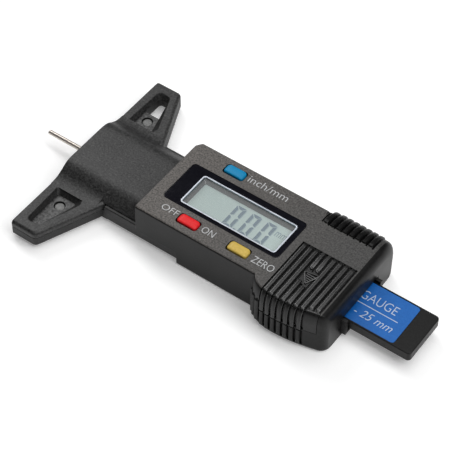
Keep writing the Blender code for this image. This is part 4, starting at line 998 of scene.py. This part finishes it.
def cover_ribs(form):
    for index in range(COVER_RIBS):
        x = NEAR_FIRST + index * NEAR_PITCH
        lower_z = SIDE_SEAM + 0.06 if index < SIDE_RIBS else None
        if index in ARROW_RIBS:
            far_end, near_start = ARROW_RIBS[index]
            way = flat_way(1.0, (COVER_EDGE - 0.1, COVER_EDGE - 0.25, -1.0, far_end + 0.25, far_end))
            sweep(form, x, way, RIB, (0.6, 0.45))
            sweep(form, x, rib_way(x, -1.0, near_start, lower_z), RIB, (0.15, 0.9))
            turned(form, KNOB_PROFILE, x + 0.2, far_end + 0.1, 20)
        else:
            sweep(form, x, rib_way(x, -1.0, -COVER_EDGE + 0.1, lower_z), RIB, (0.6, 0.9 if lower_z else 0.1))


def triangle(inset):
    """The arrow's outline, which points to the near edge."""
    return rounded([(81.85 + inset * 1.5, -6.75 - inset), (84.55, -10.75 + inset * 2.0),
                    (86.75 - inset * 1.7, -6.05 - inset * 0.8)], max(0.30 - inset * 0.3, 0.06), 4)


def on_the_arrow(centre, normal):
    """The upward faces of the arrow's rim and hatch bars, which take a painted highlight."""
    if not (81.6 < centre.x < 87.0 and -10.9 < centre.y < -5.9):
        return False
    return abs(centre.x - 84.45) < 0.56 * (centre.y + 11.6) and centre.z > 14.20 and normal.z > 0.15


carve(cover, (cover_grooves,))
add(cover, (cover_ribs,))
arrow = build("arrow", (soft_prism, triangle, 13.4, 14.45, 0.0, 0.12))
carve(arrow, (prism, triangle(0.30), 13.95, 15.0))
for reach, depth in ((1.35, -7.25), (1.05, -7.95), (0.72, -8.65), (0.38, -9.3)):
    bar = rectangle(84.42 - reach, depth - 0.17, 84.42 + reach, depth + 0.17, 0.08, 2)
    add(arrow, (prism, bar, 13.9, 14.40))
absorb(cover, arrow)
for low, high in ((77.5, 78.6), (91.0, 92.1)):
    add(cover, (slab, low, high, -1.6, -0.1, 11.4, 13.2), (slab, low, high, -1.0, 3.7, 11.4, 11.8))
finish_piece(cover, "battery_door", RIBBED, ["battery_cover"])
# painted shade: the cover's near side faces take the darker copy
second_finish(cover, RIBBED_SHADED_SIDE, lambda centre, normal: normal.y < -0.80 and centre.y < -16.0)
# painted highlight on the arrow's upward faces
second_finish(cover, ARROW_PAINTED_HIGHLIGHT, on_the_arrow)

# ---- display ----


def inset_outline(low, high, radius):
    """An outline_at(inset) function for a rectangle with rounded corners."""
    def outline_at(inset):
        return rectangle(low.x + inset, low.y + inset, high.x - inset, high.y - inset, radius(inset), 8)
    return outline_at


trim_outline = inset_outline(TRIM_LOW, TRIM_HIGH, lambda inset: 1.0 - inset * 0.7)
bezel_outline = inset_outline(BEZEL_LOW, BEZEL_HIGH, lambda inset: 1.25 - inset * 0.5)
view_outline = rectangle(40.45, -5.40, 71.0, 4.35, 0.35, 8)  # the part of the display that shows

bezel = build("display_bezel", (soft_prism, bezel_outline, BEZEL_LOW.z, TOP - 0.02, 0.0, 0.10, 3))
carve(bezel, (prism, trim_outline(-0.55), 12.2, 13.5), operation="UNION")
carve(bezel,
      (loft, [[(x, y, z) for x, y in outline] for outline, heights in (
          (view_outline, (12.0, 12.22)), (trim_outline(0.5), (13.15, 15.0))) for z in heights]),
      (prism, trim_outline(-0.05), 13.6, OVER))
finish_piece(bezel, "gauge_body", WINDOW, ["window_bezel"])


def trim_frame(form):
    """The thin silver frame, with its top edges rounded inside and out."""
    sections = [(0.0, 13.62), (0.0, TRIM_HIGH.z - 0.10), (0.04, TRIM_HIGH.z - 0.03), (0.12, TRIM_HIGH.z),
                (0.38, TRIM_HIGH.z), (0.46, TRIM_HIGH.z - 0.03), (0.5, TRIM_HIGH.z - 0.10), (0.5, 13.62)]
    rows = [[form.verts.new((x, y, z)) for x, y in trim_outline(inset)] for inset, z in sections]
    size = len(rows[0])
    for row, following in zip(rows, rows[1:] + rows[:1]):
        for index in range(size):
            after = (index + 1) % size
            form.faces.new((row[index], row[after], following[after], following[index]))


piece("display_trim", (trim_frame,), "gauge_body", "trim", SILVER, ["window_trim"])


def lens_outline(inset):
    return trim_outline(0.56 + inset)


piece("display_lens_piece", (soft_prism, lens_outline, 13.2, 13.6, 0.05, 0.05, 2), "gauge_body", "lens", LENS,
      ["display_lens"])
piece("display_glass_piece",
      (slab, LCD_LOW.x, LCD_HIGH.x, LCD_LOW.y, LCD_HIGH.y, LCD_LOW.z, LCD_HIGH.z, 0.12, 0.3),
      "gauge_body", "lcd", DISPLAY, ["lcd_glass"])

DIGIT_WIDTH = 3.25
DIGIT_HEIGHT = 8.3
DIGIT_BASE = -4.95
DIGITS = (52.5, 57.75, 63.0)
STROKE = 0.95


def digit_strokes(form, left, low, high, sink):
    """The six outer strokes of a zero, with mitred ends. sink moves them right and near."""
    half_wide = DIGIT_WIDTH / 2.0
    half_high = DIGIT_HEIGHT / 2.0
    gap = 0.20
    level = [(half_wide - gap, half_high), (half_wide - STROKE - gap, half_high - STROKE)]
    level += [(-x, y) for x, y in reversed(level)]
    inner = half_wide - STROKE
    upright = [(half_wide, half_high - gap), (inner, half_high - STROKE - gap),
               (inner, STROKE * 0.5 + gap), (half_wide - STROKE * 0.5, gap), (half_wide, gap)]
    for points, across in ((level, 1.0), (upright, 1.0), (upright, -1.0)):
        for up in (1.0, -1.0):
            outline = [(left + sink + half_wide + x * across, DIGIT_BASE - sink * 0.6 + half_high + y * up)
                       for x, y in points]
            prism(form, outline, low, high)


def lit_digits(form, sink=0.0):
    """Three zeros and a decimal point. With sink, their painted shadow: a fainter copy below them."""
    low = LCD_HIGH.z + (0.005 if sink else 0.025)
    high = low + 0.010
    for left in DIGITS:
        digit_strokes(form, left, low, high, sink)
    prism(form, rectangle(56.3 + sink, DIGIT_BASE, 56.95 + sink, DIGIT_BASE + 0.65, 0.12, 3), low, high)


piece("display_digits", (lit_digits,), "gauge_body", "lcd", SEGMENT, sharp=20.0)
# a painted shadow of the segments, a fainter copy offset below and beside them
piece("display_digit_shadow", (lit_digits, 0.28), "gauge_body", "lcd", DIGIT_SHADOW_PAINT, sharp=20.0)
lettering("display_unit", "mm", 67.1, 0.1, 70.5, 1.9, LCD_HIGH.z + 0.01, "gauge_body", "lcd", SEGMENT)

# ---- printed words on the face ----

for name, words, x0, y0, x1, y1 in (("word_off", "OFF", 36.3, -11.7, 41.9, -9.6),
                                    ("word_on", "ON", 50.5, -12.1, 54.6, -9.8),
                                    ("word_zero", "ZERO", 67.9, -12.6, 74.9, -10.2),
                                    ("word_inch_mm", "inch/mm", 50.2, 10.9, 63.6, 13.5)):
    lettering(name, words, x0, y0, x1, y1, TOP, "gauge_body", "cover", PRINT)

# ---- buttons ----


def button_cap(form, low, high, top):
    """A cap that is domed along its length, its flange under the face and its stem."""
    centre_x = (low[0] + high[0]) / 2.0
    centre_y = (low[1] + high[1]) / 2.0
    half = (high[0] - low[0]) / 2.0
    fall = 0.42  # the dome falls this far to the cap's ends
    steps = [(0.0, 11.55), (0.0, 13.6), (0.0, top - fall), (0.03, top - 0.30), (0.10, top - 0.18),
             (0.22, top - 0.09), (0.40, top - 0.03), (0.70, top - 0.01), (1.05, top), (1.35, top)]
    rings = []
    for inset, z in steps:
        ring = button_ring(low, high, 0.1, inset, z)
        if z > 13.7:
            ring = [(x, y, z - fall * (abs(x - centre_x) / half) ** 2.6) for x, y, z in ring]
        rings.append(ring)
    loft(form, rings)
    loft(form, [button_ring(low, high, 0.75, 0.0, 11.5), button_ring(low, high, 0.75, 0.0, 12.1)])
    slab(form, centre_x - 1.2, centre_x + 1.2, centre_y - 0.8, centre_y + 0.8, 8.25, 11.8, 0.1, 0.2)


for node, body, slot_name, finish in (("blue_unit_button", "unit_button", "blue_button", BLUE),
                                      ("red_power_button", "power_button", "red_button", RED),
                                      ("yellow_zero_button", "zero_button", "yellow_button", YELLOW)):
    piece(body + "_cap", (button_cap, *BUTTONS[node]), body, slot_name, finish, [node])

# ---- screws ----

SCREW_PROFILE = [(1.0, -1.15), (1.35, -1.08), (1.6, -0.9), (1.6, -0.65), (0.8, -0.65), (0.8, 4.0), (0.4, 4.6)]
SLOT = [(-0.95, -0.17), (0.95, -0.17), (0.95, 0.17), (-0.95, 0.17)]
for number, (x, y) in enumerate(CASE_SCREWS, 1):
    screw = build("case_screw_piece_%d" % number, (turned, SCREW_PROFILE, x, y, 36))
    for turn in (0.35 * number, 0.35 * number + math.pi / 2.0):
        along = Vector((math.cos(turn), math.sin(turn)))
        slot = [Vector((x, y)) + along * a + along.orthogonal() * b for a, b in SLOT]
        carve(screw, (prism, slot, -2.0, -0.85))
    finish_piece(screw, "gauge_body", PLATED, ["case_screw_%d" % number])

# ---- CAD nodes that stay ----

KEPT = (
    (SCALE, ("scale_strip",)),
    (BOARD, ("circuit_board",)),
    (CHIP, ("processor_chip",)),
    (ELASTOMER, ("zebra_strip_near", "zebra_strip_far")),
    (NICKEL, ("coin_cell",)),
    (BRONZE, ("friction_spring", "battery_contact_negative", "battery_contact_positive")),
    (PLATED, ("red_button_dome", "yellow_button_dome", "blue_button_dome",
              "board_screw_1", "board_screw_2", "board_screw_3", "board_screw_4")),
)
for finish, nodes in KEPT:
    for kept in [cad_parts[node] for node in nodes]:
        if not kept.material_slots:
            kept.data.materials.append(finish)
        for holder in kept.material_slots:
            holder.material = finish

# ---- floor, light and camera ----

floor_form = bmesh.new()
bmesh.ops.create_grid(floor_form, x_segments=8, y_segments=8, size=2.5)
floor = put_in_scene(bpy.data.objects.new("studio_floor", mesh_from(floor_form, "studio_floor")))
floor.location = (0.0, 0.0, -0.00002)
floor_finish, floor_tree, floor_shader, floor_place = new_finish("studio_floor_white")
floor_shade = ramp(floor_tree, noise(floor_tree, floor_place, 3.0, 2.0), 0.3, 0.7, 0.90, 0.93)
feed(floor_tree, floor_shader, {"Base Color": floor_shade, "Roughness": 0.9, "Specular IOR Level": 0.1,
                                "Emission Color": floor_shade, "Emission Strength": 0.26})
floor.data.materials.append(floor_finish)

TARGET = TO_FRAME @ Vector((50.0, 0.0, 8.0))
LIGHT_DISTANCE = 0.9


def direction(azimuth, elevation):
    """From the gauge towards a light or the camera. Azimuth 0 is the -Y side and 90 the +X side."""
    return Vector((math.sin(azimuth) * math.cos(elevation), -math.cos(azimuth) * math.cos(elevation),
                   math.sin(elevation)))


def softbox(name, azimuth, elevation, width, height, power):
    """A rectangular light that faces the gauge."""
    towards = direction(math.radians(azimuth), math.radians(elevation))
    lamp = bpy.data.lights.new(name, "AREA")
    lamp.shape = "RECTANGLE"
    lamp.size = width
    lamp.size_y = height
    lamp.energy = power
    holder = put_in_scene(bpy.data.objects.new(name, lamp))
    holder.location = TARGET + towards * LIGHT_DISTANCE
    holder.rotation_mode = "QUATERNION"
    holder.rotation_quaternion = (-towards).to_track_quat("-Z", "Y")


softbox("front_softbox", 240.0, 42.0, 0.36, 0.40, 2.4)
softbox("back_softbox", 188.0, 70.0, 0.5, 0.4, 1.6)
softbox("right_softbox", 95.0, 50.0, 0.6, 0.6, 4.0)
softbox("overhead_softbox", 0.0, 88.0, 0.8, 0.8, 2.2)

world = bpy.data.worlds.new("studio_world")
world.use_nodes = True
world.node_tree.nodes["Background"].inputs["Color"].default_value = (1.0, 1.0, 1.0, 1.0)
world.node_tree.nodes["Background"].inputs["Strength"].default_value = 0.06
bpy.context.scene.world = world
bpy.context.scene.view_settings.view_transform = "Standard"

AZIMUTH = math.radians(35.17)
ELEVATION = math.radians(49.66)
ROLL = math.radians(0.78)
DISTANCE = 0.492
back = direction(AZIMUTH, ELEVATION)
level = Vector((math.cos(AZIMUTH), math.sin(AZIMUTH), 0.0))
upward = back.cross(level)
right = level * math.cos(ROLL) + upward * math.sin(ROLL)
up = upward * math.cos(ROLL) - level * math.sin(ROLL)
aim = TARGET + right * 0.00032 - up * 0.00203
camera_data = bpy.data.cameras.new("photo_view")
camera_data.sensor_width = 36.0
camera_data.lens = 138.2
camera_data.clip_start = 0.02
camera_data.clip_end = 20.0
camera = put_in_scene(bpy.data.objects.new("photo_view", camera_data))
turned_to_gauge = Matrix((right, up, back)).transposed().to_4x4()
camera.matrix_world = Matrix.Translation(aim + back * DISTANCE) @ turned_to_gauge
bpy.context.scene.camera = camera

bpy.context.view_layer.update()
